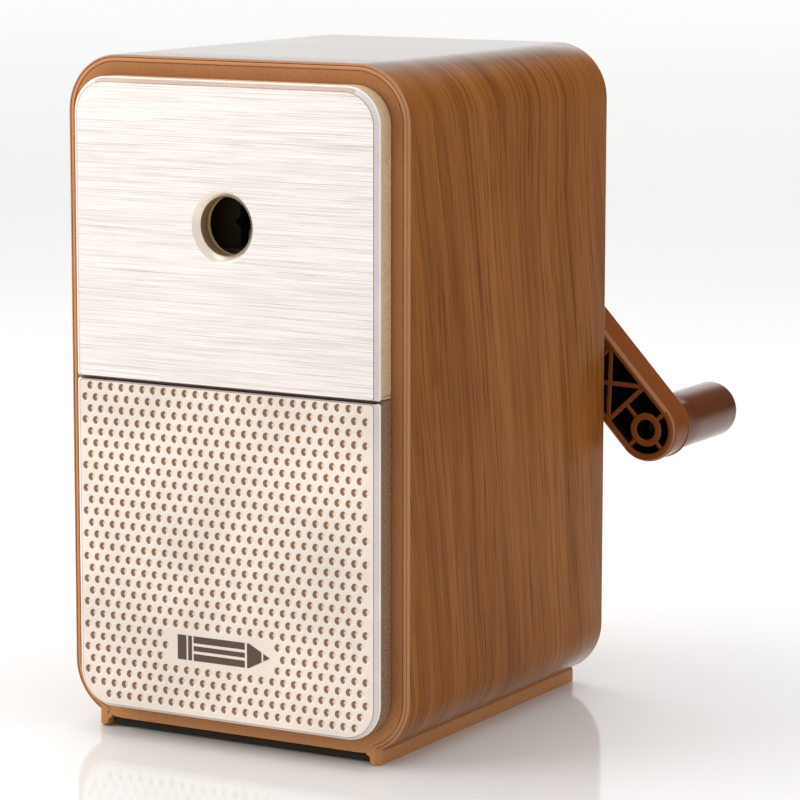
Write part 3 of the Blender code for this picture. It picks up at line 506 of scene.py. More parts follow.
def wood_film():
    """Wood film: leaning grain with bands, fine streaks and short pores; u runs round the casing."""
    look = Look("wood_grain_film", (0.33, 0.11, 0.026), 0.34, IOR=1.14)
    plain = look.coordinates((1, 1, 1), uv="wrap")
    parts = look.node("ShaderNodeSeparateXYZ", {0: plain})
    sway = look.noise(look.coordinates((9, 15, 1), uv="wrap"), detail=1.5)
    sway = look.remap(sway, 0.0, 1.0, -0.008, 0.008)
    lean = look.node("ShaderNodeMath", {0: parts.outputs[0]}, operation="MULTIPLY")
    lean.inputs[1].default_value = GRAIN_LEAN
    across = look.node("ShaderNodeMath", {0: parts.outputs[1], 1: sway}, operation="ADD").outputs[0]
    across = look.node("ShaderNodeMath", {0: across, 1: lean.outputs[0]}, operation="ADD").outputs[0]
    grain = look.node("ShaderNodeCombineXYZ", {0: parts.outputs[0], 1: across}).outputs[0]

    def stretched(along, sideways, detail, roughness=0.55, offset=(0, 0, 0)):
        vector = look.node("ShaderNodeMapping", {0: grain}, Scale=(along, sideways, 1), Location=offset)
        return look.noise(vector.outputs[0], detail=detail, roughness=roughness)

    bands = stretched(7, 120, 3.0)
    browns = [(0.32, (0.222, 0.069, 0.016)), (0.47, (0.300, 0.104, 0.023)), (0.68, (0.362, 0.137, 0.034))]
    color = look.ramp(bands, browns)
    streaks = stretched(10, 820, 5.0, 0.72, (3, 7, 0))
    streaks = look.ramp(streaks, [(0.32, 0.56), (0.42, 0.86), (0.53, 1.0), (0.72, 1.12)])
    color = look.mix(1.0, color, streaks, "MULTIPLY")
    patches = look.noise(look.coordinates((16, 90, 1), uv="wrap", offset=(2, 9, 0)), detail=2.0)
    patches = look.ramp(patches, [(0.44, 0.0), (0.68, 0.75)])
    pores = look.ramp(stretched(48, 1900, 3.0, 0.6, (11, 3, 0)), [(0.38, 0.0), (0.45, 1.0)])
    pores = look.mix(1.0, pores, patches, "LIGHTEN")
    color = look.mix(1.0, color, look.mix(pores, (0.60, 0.50, 0.42), (1.0, 1.0, 1.0)), "MULTIPLY")
    fibre = look.ramp(stretched(60, 2900, 3.0, 0.6, (5, 1, 0)), [(0.3, 0.84), (0.7, 1.13)])
    color = look.mix(1.0, color, fibre, "MULTIPLY")
    # Painted highlight: the film turns a lighter orange on its front rounding.
    front = look.remap(parts.outputs[1], 0.00042, 0.00058, 1.0, 0.0)
    color = look.mix(front, color, (0.46, 0.235, 0.125))
    # Painted shade: faces that point up get a darker, cooler colour.
    up = look.node("ShaderNodeSeparateXYZ", {0: look.node("ShaderNodeTexCoord").outputs["Normal"]}).outputs[2]
    painted_top_shade = look.mix(1.0, color, (0.45, 0.55, 0.75), "MULTIPLY")
    color = look.mix(look.remap(up, 0.75, 1.0), color, painted_top_shade)
    look.link(color, "Base Color")
    look.link(look.remap(bands, 0.3, 0.7, 0.38, 0.30), "Roughness")
    look.link(look.bump(pores, 0.10, 0.00006), "Normal")
    facing = look.node("ShaderNodeLayerWeight", Blend=0.5).outputs["Facing"]
    look.link(look.remap(facing, 0.58, 0.86), "Coat Weight")
    look.set("Coat Roughness", 0.16)
    look.set("Coat IOR", 1.25)
    return look.material


def brushed_metal():
    """Champagne plate with fine, long horizontal brush marks."""
    look = Look("brushed_champagne", (0.90, 0.85, 0.80), 0.36, metallic=0.85)
    fine = look.noise(look.coordinates((70, 900, 13000)), detail=3.0, roughness=0.6)
    long = look.noise(look.coordinates((34, 900, 9200), offset=(3, 0, 5)), detail=4.0, roughness=0.66)
    broad = look.noise(look.coordinates((10, 10, 200), offset=(1, 0, 2)), detail=3.0)
    tones = [(0.32, (0.66, 0.60, 0.55)), (0.46, (0.86, 0.80, 0.76)), (0.62, (0.95, 0.91, 0.88))]
    marks = [(0.33, (0.62, 0.58, 0.55)), (0.42, (0.90, 0.87, 0.85)), (0.47, (1.0, 1.0, 1.0))]
    clouds = [(0.35, (0.86, 0.82, 0.78)), (0.65, (1.0, 1.0, 1.0))]
    color = look.mix(0.8, look.ramp(fine, tones), look.ramp(long, marks), "MULTIPLY")
    color = look.mix(0.18, color, look.ramp(broad, clouds), "MULTIPLY")
    look.link(color, "Base Color")
    look.link(look.remap(fine, 0.3, 0.7, 0.32, 0.46), "Roughness")
    look.link(look.bump(long, 0.12, 0.00004, look.bump(fine, 0.18, 0.00003)), "Normal")
    return look.material


def floor_look():
    """Pale satin table top with a faint mirror image."""
    look = Look("floor", (0.84, 0.835, 0.83), 0.09, IOR=1.27)
    broad = look.noise(look.coordinates((3, 3, 3)), detail=2.0)
    look.link(look.ramp(broad, [(0.3, (0.83, 0.825, 0.82)), (0.7, (0.85, 0.845, 0.84))]), "Base Color")
    return look.material


# Colour, roughness, and what differs from the usual values
PLASTICS = {
    # casing and panels
    "tan_plastic": ((0.40, 0.170, 0.063), 0.40, dict(speck=0.10, foot=(0.54, 0.245, 0.098), IOR=1.22)),
    # bead: the tan plastic in a lighter colour as painted highlight, and glossier
    "bead_painted_highlight": ((0.56, 0.255, 0.105), 0.34, dict(grain=0.05, IOR=1.3)),
    "cream_plastic": ((0.84, 0.735, 0.64), 0.45, dict(grain=0.12, speck=0.02)),
    "beige_plastic": ((0.68, 0.485, 0.295), 0.55, dict(grain=0.25, speck=0.14)),
    "tea_plastic": ((0.30, 0.185, 0.112), 0.26, dict(grain=0.05, speck=0.03)),
    "mark_brown": ((0.085, 0.045, 0.028), 0.4, dict(grain=0.2)),
    # chamfers and edges of the panels, and the painted shade in the gap between them
    # chamfers: real polish, with a pinkish tint that is a painted reflection
    "polished_painted_reflection": ((0.78, 0.705, 0.70), 0.32, dict(grain=0.01, Metallic=0.2)),
    # edge line: a dark line as painted shade along the front face's edge
    "edge_painted_shade": ((0.36, 0.25, 0.20), 0.4, dict(grain=0.05)),
    # top chamfer of the faceplate: a warmer, darker colour as painted reflection
    "top_chamfer_painted_reflection": ((0.60, 0.45, 0.36), 0.3, dict(grain=0.02)),
    # glint: a near-white painted highlight on the chamfers' outer rounding and the dimples' lips
    "glint": ((0.93, 0.87, 0.82), 0.3, dict(grain=0.02)),
    # gap: near-black as painted shade in the gap between the panels
    "painted_gap_shade": ((0.04, 0.018, 0.010), 0.5, dict(grain=0.05)),
    # pencil hole and dimples, with painted shade on the hole's wall and painted light and shade in the
    # dimples
    # hole wall: brown as painted shade
    "hole_painted_shade": ((0.27, 0.155, 0.078), 0.5, dict(grain=0.2)),
    "hole_ring": ((0.88, 0.78, 0.68), 0.26, dict(grain=0.0, grain_scale=300, Metallic=0.8)),
    "dimple": ((0.92, 0.74, 0.60), 0.35, dict(grain=0.03)),
    "dimple_shade": ((0.31, 0.18, 0.10), 0.35, dict(grain=0.03)),
    "dimple_lit": ((0.84, 0.69, 0.57), 0.35, dict(grain=0.03)),
    # crank
    "brown_plastic": ((0.225, 0.064, 0.014), 0.14, dict(grain=0.02, grain_scale=1400, IOR=1.27)),
    # arm edge: a lighter brown as painted highlight, and glossier
    "arm_edge_painted_highlight": ((0.40, 0.15, 0.06), 0.14, dict(grain=0.02, grain_scale=1400, IOR=1.4)),
    "grip_brown": ((0.13, 0.030, 0.005), 0.13, dict(grain=0.015, grain_scale=900, IOR=1.62)),
    # recess: near-black as painted shade in the arm's pocket
    "recess_painted_shade": ((0.012, 0.006, 0.004), 0.6, dict(IOR=1.2)),
    # mechanism
    "black_plastic": ((0.030, 0.018, 0.010), 0.55, dict(IOR=1.25)),
    "grey_plastic": ((0.07, 0.068, 0.065), 0.5, {}),
    "white_acetal": ((0.68, 0.67, 0.63), 0.38, dict(grain=0.2, Subsurface_Weight=0.1)),
}
METALS = {
    "steel": ((0.62, 0.62, 0.62), 0.26, {}),
    # grip pin: near-black metal as painted shade
    "pin_painted_shade": ((0.06, 0.05, 0.045), 0.4, {}),
    "spring_steel": ((0.42, 0.42, 0.43), 0.34, dict(ring_scale=1500)),
    "brass": ((0.78, 0.56, 0.23), 0.28, {}),
}


def make_looks():
    """Every look by its name."""
    looks = {"wood_grain_film": wood_film(), "brushed_champagne": brushed_metal()}
    for maker, table in ((moulded, PLASTICS), (turned_metal, METALS)):
        for name, (color, roughness, details) in table.items():
            looks[name] = maker(name, color, roughness, **details)
    return looks


# ---------------------------------------------------------------- casing


def below_front(x, z, side=APRON_SIDE):
    """True on the part of the casing's front edge that the apron covers."""
    return z < SLEEVE_BOTTOM + APRON_HEIGHT and abs(x) <= side


def sleeve():
    """Wood-grain tube with a thin front lip; its wrap UVs run round it (u) and from front to back (v)."""
    steps = 24
    front = [
        (FRONT_ROUND - FRONT_ROUND * math.cos(angle), FRONT_ROUND - FRONT_ROUND * math.sin(angle))
        for angle in quarter(5)
    ]
    inside = [(LIP, 0.05), (LIP, LIP_DEPTH), (SLEEVE_WALL, LIP_DEPTH)]
    inside += [(SLEEVE_WALL, DEPTH - 0.2), (SLEEVE_WALL - 0.2, DEPTH)]
    back = [
        (BACK_ROUND - BACK_ROUND * math.sin(angle), DEPTH - BACK_ROUND + BACK_ROUND * math.cos(angle))
        for angle in quarter(4)
    ]
    outside = [(0.0, y) for y in (65.0, 52.0, 39.0, 26.0, 13.0)]
    profile = front + inside + back + outside
    outer = casing_outline(0.0, steps)
    along = [0.0]
    for first, second in zip(outer, outer[1:] + outer[:1]):
        along.append(along[-1] + math.dist(first, second))
    sections = []
    for inset, y in profile:
        recessed = max(y, RECESS_DEPTH)
        loop = casing_outline(inset, steps)
        sections.append([(x, recessed if below_front(x, z, RECESS_SIDE) else y, z) for x, z in loop])
    body = bridge(sections, closed=True)
    body.verts.index_update()
    count = len(outer)
    uv = body.loops.layers.uv.new("wrap")
    for face in body.faces:
        pairs = [divmod(loop.vert.index, count) for loop in face.loops]
        wraps = {0, count - 1} <= {place_in for _, place_in in pairs}
        for loop, (ring, place_in) in zip(face.loops, pairs):
            u = along[count] if wraps and place_in == 0 else along[place_in]
            v = profile[ring][1] + profile[ring][0] * 0.5
            loop[uv].uv = (u * MM, v * MM)
    return to_object("wood_sleeve", body, smooth=38)


def bezel():
    """Moulded frame with an apron below that hides the sleeve's lower front edge."""
    steps = 20
    shape = [
        (BEAD_OUTER, 2.5),
        (BEAD_OUTER, 0.75),
        (BEAD_OUTER, 0.16),
        (BEAD_OUTER + 0.06, 0.05),
        (BEAD_OUTER + 0.17, 0.0),
        (BEAD_INNER - 0.17, 0.0),
        (BEAD_INNER - 0.06, 0.05),
        (BEAD_INNER, GROOVE_DEPTH),
        (BEAD_INNER + GROOVE, GROOVE_DEPTH),
        (BEAD_INNER + GROOVE + 0.05, 0.05),
        (BEAD_INNER + GROOVE + 0.2, 0.0),
        (2.6, 0.0),
        (BEZEL_RIM - 0.35, 0.0),
        (BEZEL_RIM - 0.1, 0.1),
        (BEZEL_RIM, 0.35),
        (BEZEL_RIM, BEZEL_DEPTH),
        (SLEEVE_WALL + 0.3, BEZEL_DEPTH),
        (SLEEVE_WALL + 0.3, 2.5),
    ]
    apron = {
        (BEAD_OUTER, 0.75): (0.03, 0.85),
        (BEAD_OUTER, 0.16): (0.03, 0.3),
        (BEAD_OUTER + 0.06, 0.05): (0.1, 0.12),
        (BEAD_OUTER + 0.17, 0.0): (0.3, 0.0),
        (BEAD_INNER - 0.17, 0.0): (0.6, 0.0),
        (BEAD_INNER - 0.06, 0.05): (0.9, 0.0),
        (BEAD_INNER, GROOVE_DEPTH): (1.0, 0.0),
        (BEAD_INNER + GROOVE, GROOVE_DEPTH): (1.1, 0.0),
        (BEAD_INNER + GROOVE + 0.05, 0.05): (1.2, 0.0),
    }
    profile = [(*point, *apron.get(point, point)) for point in shape]
    guide = casing_outline(0.5, steps)
    sections = []
    for inset, y, low_inset, low_y in profile:
        usual = casing_outline(inset, steps)
        lower = casing_outline(low_inset, steps)
        section = []
        for (x, z), (low_x, low_z), (guide_x, guide_z) in zip(usual, lower, guide):
            section.append((low_x, low_y, low_z) if below_front(guide_x, guide_z) else (x, y, z))
        sections.append(section)
    body = bridge(sections, closed=True)
    body.verts.index_update()
    count = len(sections[0])
    # Painted highlight: bead faces above the panels' bottom take the lighter bead colour.
    for face in body.faces:
        rings = [vertex.index // count for vertex in face.verts]
        gets_bead_highlight = 1 <= min(rings) and max(rings) <= 6
        face.material_index = int(gets_bead_highlight and face.calc_center_median().z >= PANEL_BOTTOM)
    reach = HALF_WIDTH - BEZEL_RIM + 0.8
    low, high = SPLIT_Z - 1.6, SPLIT_Z + 1.6
    bar = [(-reach, low), (reach, low), (reach, high), (-reach, high)]
    join_into(body, bridge([at_y(bar, 1.0), at_y(bar, BEZEL_DEPTH - 1)]))
    return to_object("front_frame", body, smooth=35)


def base():
    """Base plate with its two runners, whose front ends grow out of the rim."""
    body = bmesh.new()
    for side, runner in RUNNERS.items():
        inner, outer = runner["across"]
        lift = runner["lift"]
        ends = (
            (RUNNER_FRONT, 0.85, lift + 0.12),
            (0.9, 0.0, lift * 0.4),
            (2.0, 0.0, 0.0),
            (DEPTH - 0.9, 0.0, 0.0),
            (DEPTH - 0.7, 0.2, 0.2),
        )
        rows = []
        for y, corner, foot in ends:
            top_outer, top_inner = runner["front_top" if y < 1.9 else "top"]
            outline = [
                (inner + 0.45, foot),
                (outer - 0.2 - corner, foot),
                (outer - 0.06 - corner, foot + 0.06),
                (outer - corner, foot + 0.2),
                (outer - corner, top_outer - 0.3),
                (outer - 0.3 - corner, top_outer),
                (inner, top_inner),
                (inner, 0.95),
                (inner + 0.08, foot + 0.5),
            ]
            rows.append([(side * x, y, z) for x, z in outline])
        join_into(body, bridge(rows))
        fillet = [(0.1, 1.25), (0.1, 2.6), (-0.9, 2.6), (-0.75, 1.96), (-0.2, 1.7)]
        rows = [[(side * (inner + x), y, z) for x, z in fillet] for y in (-0.02, 1.0)]
        join_into(body, bridge(rows))
    plate = [(-PLATE_SIDE, PLATE_LOW), (PLATE_SIDE, PLATE_LOW)]
    plate += [(PLATE_SIDE, PLATE_HIGH), (-PLATE_SIDE, PLATE_HIGH)]
    runner_faces = len(body.faces)
    join_into(body, bridge([at_y(plate, 1.2), at_y(plate, DEPTH - 5)]))
    # Painted shade: the plate takes black plastic, so the gap under the apron reads dark.
    for number, face in enumerate(body.faces):
        face.material_index = int(number >= runner_faces)
    return to_object("base_runners", body, smooth=35)


# ---------------------------------------------------------------- panels


def panel_outline(upper, inset=0.0, split_inset=0.0):
    """A panel's (x, z) outline; inset counts from its outer edges and split_inset from the split."""
    radius = PANEL_RADIUS - inset
    corner = SHARP_CORNER
    if upper:
        bottom = SPLIT_Z + SPLIT_GAP / 2 + split_inset
        return rounded_outline(PANEL_HALF_WIDTH - inset, bottom, PANEL_TOP - inset, corner, radius, 14)
    top = SPLIT_Z - SPLIT_GAP / 2 - split_inset
    return rounded_outline(PANEL_HALF_WIDTH - inset, PANEL_BOTTOM + 0.6 * inset, top, radius, corner, 14)


def plate_rings(body, upper):
    """Chamfered rim of a panel skin, from the front face's edge to its back; returns the vertex loops."""
    front = -PANEL_PROUD
    back = front + PANEL_SKIN
    rings = [
        (PANEL_INSET + 0.09, SPLIT_BEVEL + 0.07, front),
        (PANEL_INSET - 0.05, SPLIT_BEVEL - 0.03, front + 0.07),
        (0.24, 0.08, back - 0.20),
        (0.03, 0.02, back - 0.06),
        (0.0, 0.0, back + 0.06),
    ]
    return [new_loop(body, panel_outline(upper, inset, split_inset), y) for inset, split_inset, y in rings]


def backing_rings(body, upper, last):
    """Rim of the moulded plate behind the skin, which closes the gap to the carrier."""
    back = -PANEL_PROUD + PANEL_SKIN
    outline = panel_outline(upper, BACKING_INSET, BACKING_INSET)
    return [last] + [new_loop(body, outline, y) for y in (back + 0.06, BACKING_END)]


def take_out(faces, test):
    """Move the faces whose middle passes the test out of a list; returns them."""
    taken = [face for face in faces if test(face.calc_center_median())]
    faces[:] = [face for face in faces if face not in set(taken)]
    return taken


def looks_into_gap(middle):
    """True for faces that look into the gap."""
    return abs(middle.z - SPLIT_Z) < 0.5 and abs(middle.x) < PANEL_HALF_WIDTH - 0.8


def finish_panel(name, body, groups):
    """Number the face groups' materials in their order; the flat front (0) is kept free of bent shading."""
    for number, faces in enumerate(groups):
        for face in faces:
            face.material_index = number
    thing = to_object(name, body, smooth=25)
    for polygon in thing.data.polygons:
        if polygon.material_index == 0 and abs(polygon.normal.y) > 0.999:
            polygon.use_smooth = False
    return thing


def upper_panel():
    """Faceplate: brushed skin, chamfer, moulded backing and the pencil hole with its ring, and a brown wall
    in the hole as painted shade.
    """
    body = bmesh.new()
    rings = plate_rings(body, True)
    # Painted shade: a dark line along the front face's edge.
    line = add_loops(body, rings[:2])
    # Chamfer: polished, with a painted reflection in its tint.
    chamfer = add_loops(body, rings[1:3])
    # Painted highlight: the chamfer's outer rounding is near-white.
    glint = add_loops(body, rings[2:])
    backing_loops = backing_rings(body, True, rings[-1])
    backing = add_loops(body, backing_loops)
    count = 96
    front = -PANEL_PROUD
    mouth = HOLE_MOUTH - HOLE_RADIUS
    hole = [
        (HOLE_MOUTH + 0.05, front),
        (HOLE_MOUTH - 0.04, front + 0.05),
        (HOLE_RADIUS + 0.10, front + mouth - 0.06),
        (HOLE_RADIUS - 0.02, front + mouth + 0.10),
        (HOLE_RADIUS - 0.06, front + mouth + 0.2),
        (HOLE_RADIUS - 0.06, HOLE_STEP),
        (HOLE_RADIUS - 0.02, HOLE_STEP),
        (HOLE_RADIUS - 0.02, BACKING_END),
    ]
    centre = (0.0, PENCIL_Z)
    hole_loops = [new_loop(body, disc(radius, count, centre), y) for radius, y in hole]
    ring = add_loops(body, hole_loops[:4])
    # Painted shade: the hole's wall behind its ring is brown.
    hole_wall_shade = add_loops(body, hole_loops[3:])
    outline = panel_outline(True, PANEL_INSET + 0.09, SPLIT_BEVEL + 0.07)
    triangles = fill_with_holes(outline, [disc(HOLE_MOUTH + 0.05, count, centre)])
    faces = new_faces(body, rings[0] + hole_loops[0], triangles)
    outline = panel_outline(True, BACKING_INSET, BACKING_INSET)
    triangles = fill_with_holes(outline, [disc(HOLE_RADIUS - 0.02, count, centre)])
    backing += new_faces(body, backing_loops[-1] + hole_loops[-1], triangles)
    low = SPLIT_Z + SPLIT_GAP / 2
    edge = PANEL_HALF_WIDTH - BACKING_INSET
    tongue = [(-edge, low + 0.16), (edge, low + 0.16), (edge, TONGUE_TOP), (-edge, TONGUE_TOP)]
    before = len(body.faces)
    join_into(body, bridge([at_y(tongue, BACKING_END - 0.02), at_y(tongue, -0.3)]))
    body.faces.ensure_lookup_table()
    backing += body.faces[before:]
    # Painted shade: faces that look into the gap between the panels are near-black.
    painted_gap_shade = take_out(glint, looks_into_gap) + take_out(backing, looks_into_gap)
    # Painted reflection: the faceplate's top chamfer gets a warmer, darker colour.
    top_chamfer_reflection = take_out(chamfer, lambda middle: middle.z > PANEL_TOP - PANEL_INSET)
    groups = [faces, chamfer, backing, line, hole_wall_shade, ring, glint, painted_gap_shade, top_chamfer_reflection]
    return finish_panel("faceplate", body, groups)


def dimple_centres():
    """Staggered rows that leave out the rounded corners and the sign's field."""
    centres = []
    top = SPLIT_Z - SPLIT_GAP / 2 - DIMPLE_FIRST_ROW
    edge = PANEL_HALF_WIDTH - PANEL_INSET - DIMPLE_RADIUS - 0.12
    low = PANEL_BOTTOM + 0.6 * PANEL_INSET + DIMPLE_RADIUS + 0.3
    corner_x = PANEL_HALF_WIDTH - PANEL_RADIUS
    corner_z = PANEL_BOTTOM + PANEL_RADIUS
    reach = PANEL_RADIUS - PANEL_INSET - DIMPLE_RADIUS - 0.1
    for row in range(DIMPLE_ROWS):
        z = top - DIMPLE_PITCH_Z * row
        count = 27 if row % 2 else 26
        for place_in in range(count):
            x = DIMPLE_SHIFT + (place_in - (count - 1) / 2) * DIMPLE_PITCH_X
            if abs(x) > edge or z < low:
                continue
            if abs(x) > corner_x and z < corner_z and math.hypot(abs(x) - corner_x, z - corner_z) > reach:
                continue
            if abs(x - MARK_X) < MARK_HALF_WIDTH and abs(z - MARK_Z) < MARK_HALF_HEIGHT:
                continue
            centres.append((x, z))
    return centres


def lower_panel():
    """Drawer front: cream skin with its dimples, chamfer and moulded backing."""
    body = bmesh.new()
    rings = plate_rings(body, False)
    # Painted shade: a dark line along the front face's edge.
    line = add_loops(body, rings[:2])
    # Chamfer: polished, with a painted reflection in its tint.
    chamfer = add_loops(body, rings[1:3])
    # Painted highlight: the chamfer's outer rounding is near-white.
    glint = add_loops(body, rings[2:])
    backing_loops = backing_rings(body, False, rings[-1])
    backing = add_loops(body, backing_loops)
    backing.append(body.faces.new(backing_loops[-1]))
    front = -PANEL_PROUD
    count = 16
    edges = []
    walls = []
    shades = []
    bright = []
    lips = []
    holes = []
    for centre in dimple_centres():
        holes.append(disc(DIMPLE_RADIUS * DIMPLE_PROFILE[0][0], count, centre))
        loops = []
        for share, depth in DIMPLE_PROFILE:
            loops.append(new_loop(body, disc(DIMPLE_RADIUS * share, count, centre), front + depth))
        edges += loops[0]
        wall = add_loops(body, loops)
        bottom = body.verts.new((centre[0], front + DIMPLE_DEPTH, centre[1]))
        for index in range(count):
            wall.append(body.faces.new((loops[-1][index], loops[-1][(index + 1) % count], bottom)))
        # Painted light and shade: the lips get the glint, each dimple's left half a shade colour, its right
        # half a lit colour and its bottom a mid-tone.
        lips += wall[:2 * count]
        for face in wall[2 * count:]:
            middle = face.calc_center_median()
            turn = math.degrees(math.atan2(middle.z - centre[1], middle.x - centre[0])) % 360
            off = math.hypot(middle.x - centre[0], middle.z - centre[1]) / DIMPLE_RADIUS
            if off < 0.36:
                walls.append(face)
            else:
                (shades if 92 < turn < 262 else bright).append(face)
    outline = panel_outline(False, PANEL_INSET + 0.09, SPLIT_BEVEL + 0.07)
    faces = new_faces(body, rings[0] + edges, fill_with_holes(outline, holes))
    # Painted shade: faces that look into the gap between the panels are near-black.
    painted_gap_shade = take_out(glint, looks_into_gap) + take_out(backing, looks_into_gap)
    groups = [faces, chamfer, backing, line, walls, shades, lips + glint, bright, painted_gap_shade]
    return finish_panel("drawer_plate", body, groups)


def mark():
    """Inlaid pencil sign: end, sleeve, striped body, bare wood and point."""
    front = -PANEL_PROUD
    half = 1.25
    left = MARK_X - 10.0
    bars = [
        (0.0, 1.9, -half, half),
        (2.3, 3.1, -half, half),
        (3.5, 14.6, -half, -0.55),
        (3.5, 14.6, -0.25, 0.25),
        (3.5, 14.6, 0.55, half),
    ]
    shapes = [[(start, low), (end, low), (end, high), (start, high)] for start, end, low, high in bars]
    shapes.append([(15.1, -half), (15.5, -half), (18.2, -0.5), (18.2, 0.5), (15.5, half), (15.1, half)])
    shapes.append([(18.6, -0.38), (20.0, 0.0), (18.6, 0.38)])
    body = bmesh.new()
    for shape in shapes:
        outline = [(left + x, MARK_Z + z * MARK_STRETCH) for x, z in shape]
        join_into(body, bridge([at_y(outline, front - 0.05), at_y(outline, front + 0.15)]))
    return to_object("pencil_sign", body, smooth=30)


# ---------------------------------------------------------------- crank


def arm_outline(inset, steps=20):
    """Long outline round the crank's two ends, moved inwards by inset."""
    radius = ARM_RADIUS - inset
    outline = []
    for centre, start in ((CRANK_REACH, -90), (0.0, 90)):
        for step in range(steps + 1):
            angle = math.radians(start + 180 * step / steps)
            outline.append((centre + radius * math.cos(angle), radius * math.sin(angle)))
    return outline


def union(name, bodies):
    """Join closed bmeshes into one solid; returns a new bmesh in the same millimetres."""
    target = None
    made = []
    for number, body in enumerate(bodies):
        bmesh.ops.recalc_face_normals(body, faces=body.faces)
        mesh = bpy.data.meshes.new(f"{name}_{number}")
        body.to_mesh(mesh)
        body.free()
        thing = new_object(f"{name}_{number}", mesh)
        made.append(thing)
        if target is None:
            target = thing
            continue
        modifier = target.modifiers.new("join", "BOOLEAN")
        modifier.operation = "UNION"
        modifier.solver = "EXACT"
        modifier.object = thing
    graph = bpy.context.evaluated_depsgraph_get()
    result = bmesh.new()
    result.from_object(target, graph)
    for thing in made:
        mesh = thing.data
        bpy.data.objects.remove(thing)
        bpy.data.meshes.remove(mesh)
    bmesh.ops.dissolve_degenerate(result, edges=result.edges, dist=0.005)
    return result


def rib(length, width, front, back, centre=(0.0, 0.0), turn=0.0):
    """Straight rib with a softened front edge, turned in the arm's plane; its middle is at centre."""
    half = width / 2
    soft = 0.18
    section = [(-half, back), (-half, front + soft), (-half + soft, front)]
    section += [(-z, y) for z, y in reversed(section)]
    rows = [[(end, y, z) for z, y in section] for end in (-length / 2, length / 2)]
    body = bridge(rows)
    body.transform(Matrix.Rotation(math.radians(turn), 4, "Y"))
    body.transform(Matrix.Translation((centre[0], 0, centre[1])))
    return body


def arm():
    """Beaded outer wall, web, grip boss and hub, with the bars and crossed ribs between them."""
    floor_y = ARM_OUTER - ARM_WEB
    shell = [
        (ARM_WALL, floor_y),
        (ARM_WALL, ARM_INNER + 0.45),
        (ARM_WALL - 0.18, ARM_INNER + 0.12),
        (ARM_WALL - 0.5, ARM_INNER),
        (0.72, ARM_INNER + 0.05),
        (0.36, ARM_INNER + 0.25),
        (0.12, ARM_INNER + 0.55),
        (0.0, ARM_INNER + 0.95),
        (0.0, ARM_INNER + 1.35),
        (0.28, ARM_INNER + 1.5),
        (0.18, ARM_OUTER - 0.9),
        (0.0, ARM_OUTER - 0.7),
        (0.0, ARM_OUTER - 0.4),
        (0.12, ARM_OUTER - 0.12),
        (0.4, ARM_OUTER),
    ]
    parts = [bridge([at_y(arm_outline(inset), y) for inset, y in shell])]
    rib_front = ARM_INNER + 0.35
    back = floor_y + 0.5
    span = 2 * (ARM_RADIUS - 0.8)
    for index in range(5):
        start = CRANK_REACH - 10.5 * index
        parts.append(rib(span, 0.95, rib_front, back, (start - 6.6, 0), 90))
        for turn in (45, -45):
            parts.append(rib(span * 1.35, 0.95, rib_front, back, (start - 11.9, 0), turn))
    parts.append(rib(4.2, 0.85, rib_front, back, (CRANK_REACH - 4.6, 0), 0))
    parts.append(rib(3.4, 0.85, rib_front, back, (CRANK_REACH + 4.2, 0), 0))
    for side in (-1, 1):
        parts.append(rib(3.2, 0.85, rib_front, back, (CRANK_REACH, side * 4.1), 90))
    for centre, outer, bore, front in ((CRANK_REACH, 3.35, 2.0, ARM_INNER + 0.1), (0.0, 5.2, 3.1, ARM_INNER)):
        profile = [(bore, back), (bore, front + 0.25), (bore + 0.2, front)]
        profile += [(outer - 0.25, front), (outer, front + 0.25), (outer, back)]
        boss = turned(profile, 48)
        boss.transform(Matrix.Translation((centre, 0, 0)))
        parts.append(boss)
    body = union("arm_part", parts)
    for face in body.faces:
        middle = face.calc_center_median()
        off = math.hypot(middle.x - min(max(middle.x, 0), CRANK_REACH), middle.z)
        # Painted shade: the pocket's floor and inner walls are near-black.
        recessed = ARM_INNER + 1.2 < middle.y < floor_y + 0.05
        # Painted highlight: the rounded front edge is a lighter brown.
        on_edge_highlight = middle.y < ARM_INNER + 0.6 and 0.08 < ARM_RADIUS - off < 0.55
        face.material_index = 2 * on_edge_highlight + int(recessed and off < ARM_RADIUS - ARM_WALL + 0.05)
    turn = Matrix.Rotation(-CRANK_ANGLE, 4, "Y")
    return to_object("ribbed_arm", body, smooth=35, matrix=Matrix.Translation((0, 0, PENCIL_Z)) @ turn)


def grip():
    """Turned grip with a blind bore for its pin and a small dimple in its rounded end."""
    bore = 1.8
    edge = 1.3
    profile = [(0, GRIP_END - 3), (bore, GRIP_END - 3), (bore, GRIP_START), (GRIP_RADIUS - 0.45, GRIP_START)]
    profile += [(GRIP_RADIUS - 0.12, GRIP_START + 0.14), (GRIP_RADIUS, GRIP_START + 0.5)]
    profile += [(GRIP_RADIUS, 97.0), (GRIP_RADIUS, 104.0)]
    radius, end = GRIP_RADIUS - edge, GRIP_END - edge
    profile += [(radius + edge * math.cos(angle), end + edge * math.sin(angle)) for angle in quarter(8)]
    profile += [(1.2, GRIP_END), (0.9, GRIP_END - 0.25), (0, GRIP_END - 0.3)]
    body = turned(profile)
    x = CRANK_REACH * math.cos(CRANK_ANGLE)
    z = PENCIL_Z + CRANK_REACH * math.sin(CRANK_ANGLE)
    return to_object("turning_grip", body, smooth=40, matrix=Matrix.Translation((x, 0, z)))


# ---------------------------------------------------------------- springs


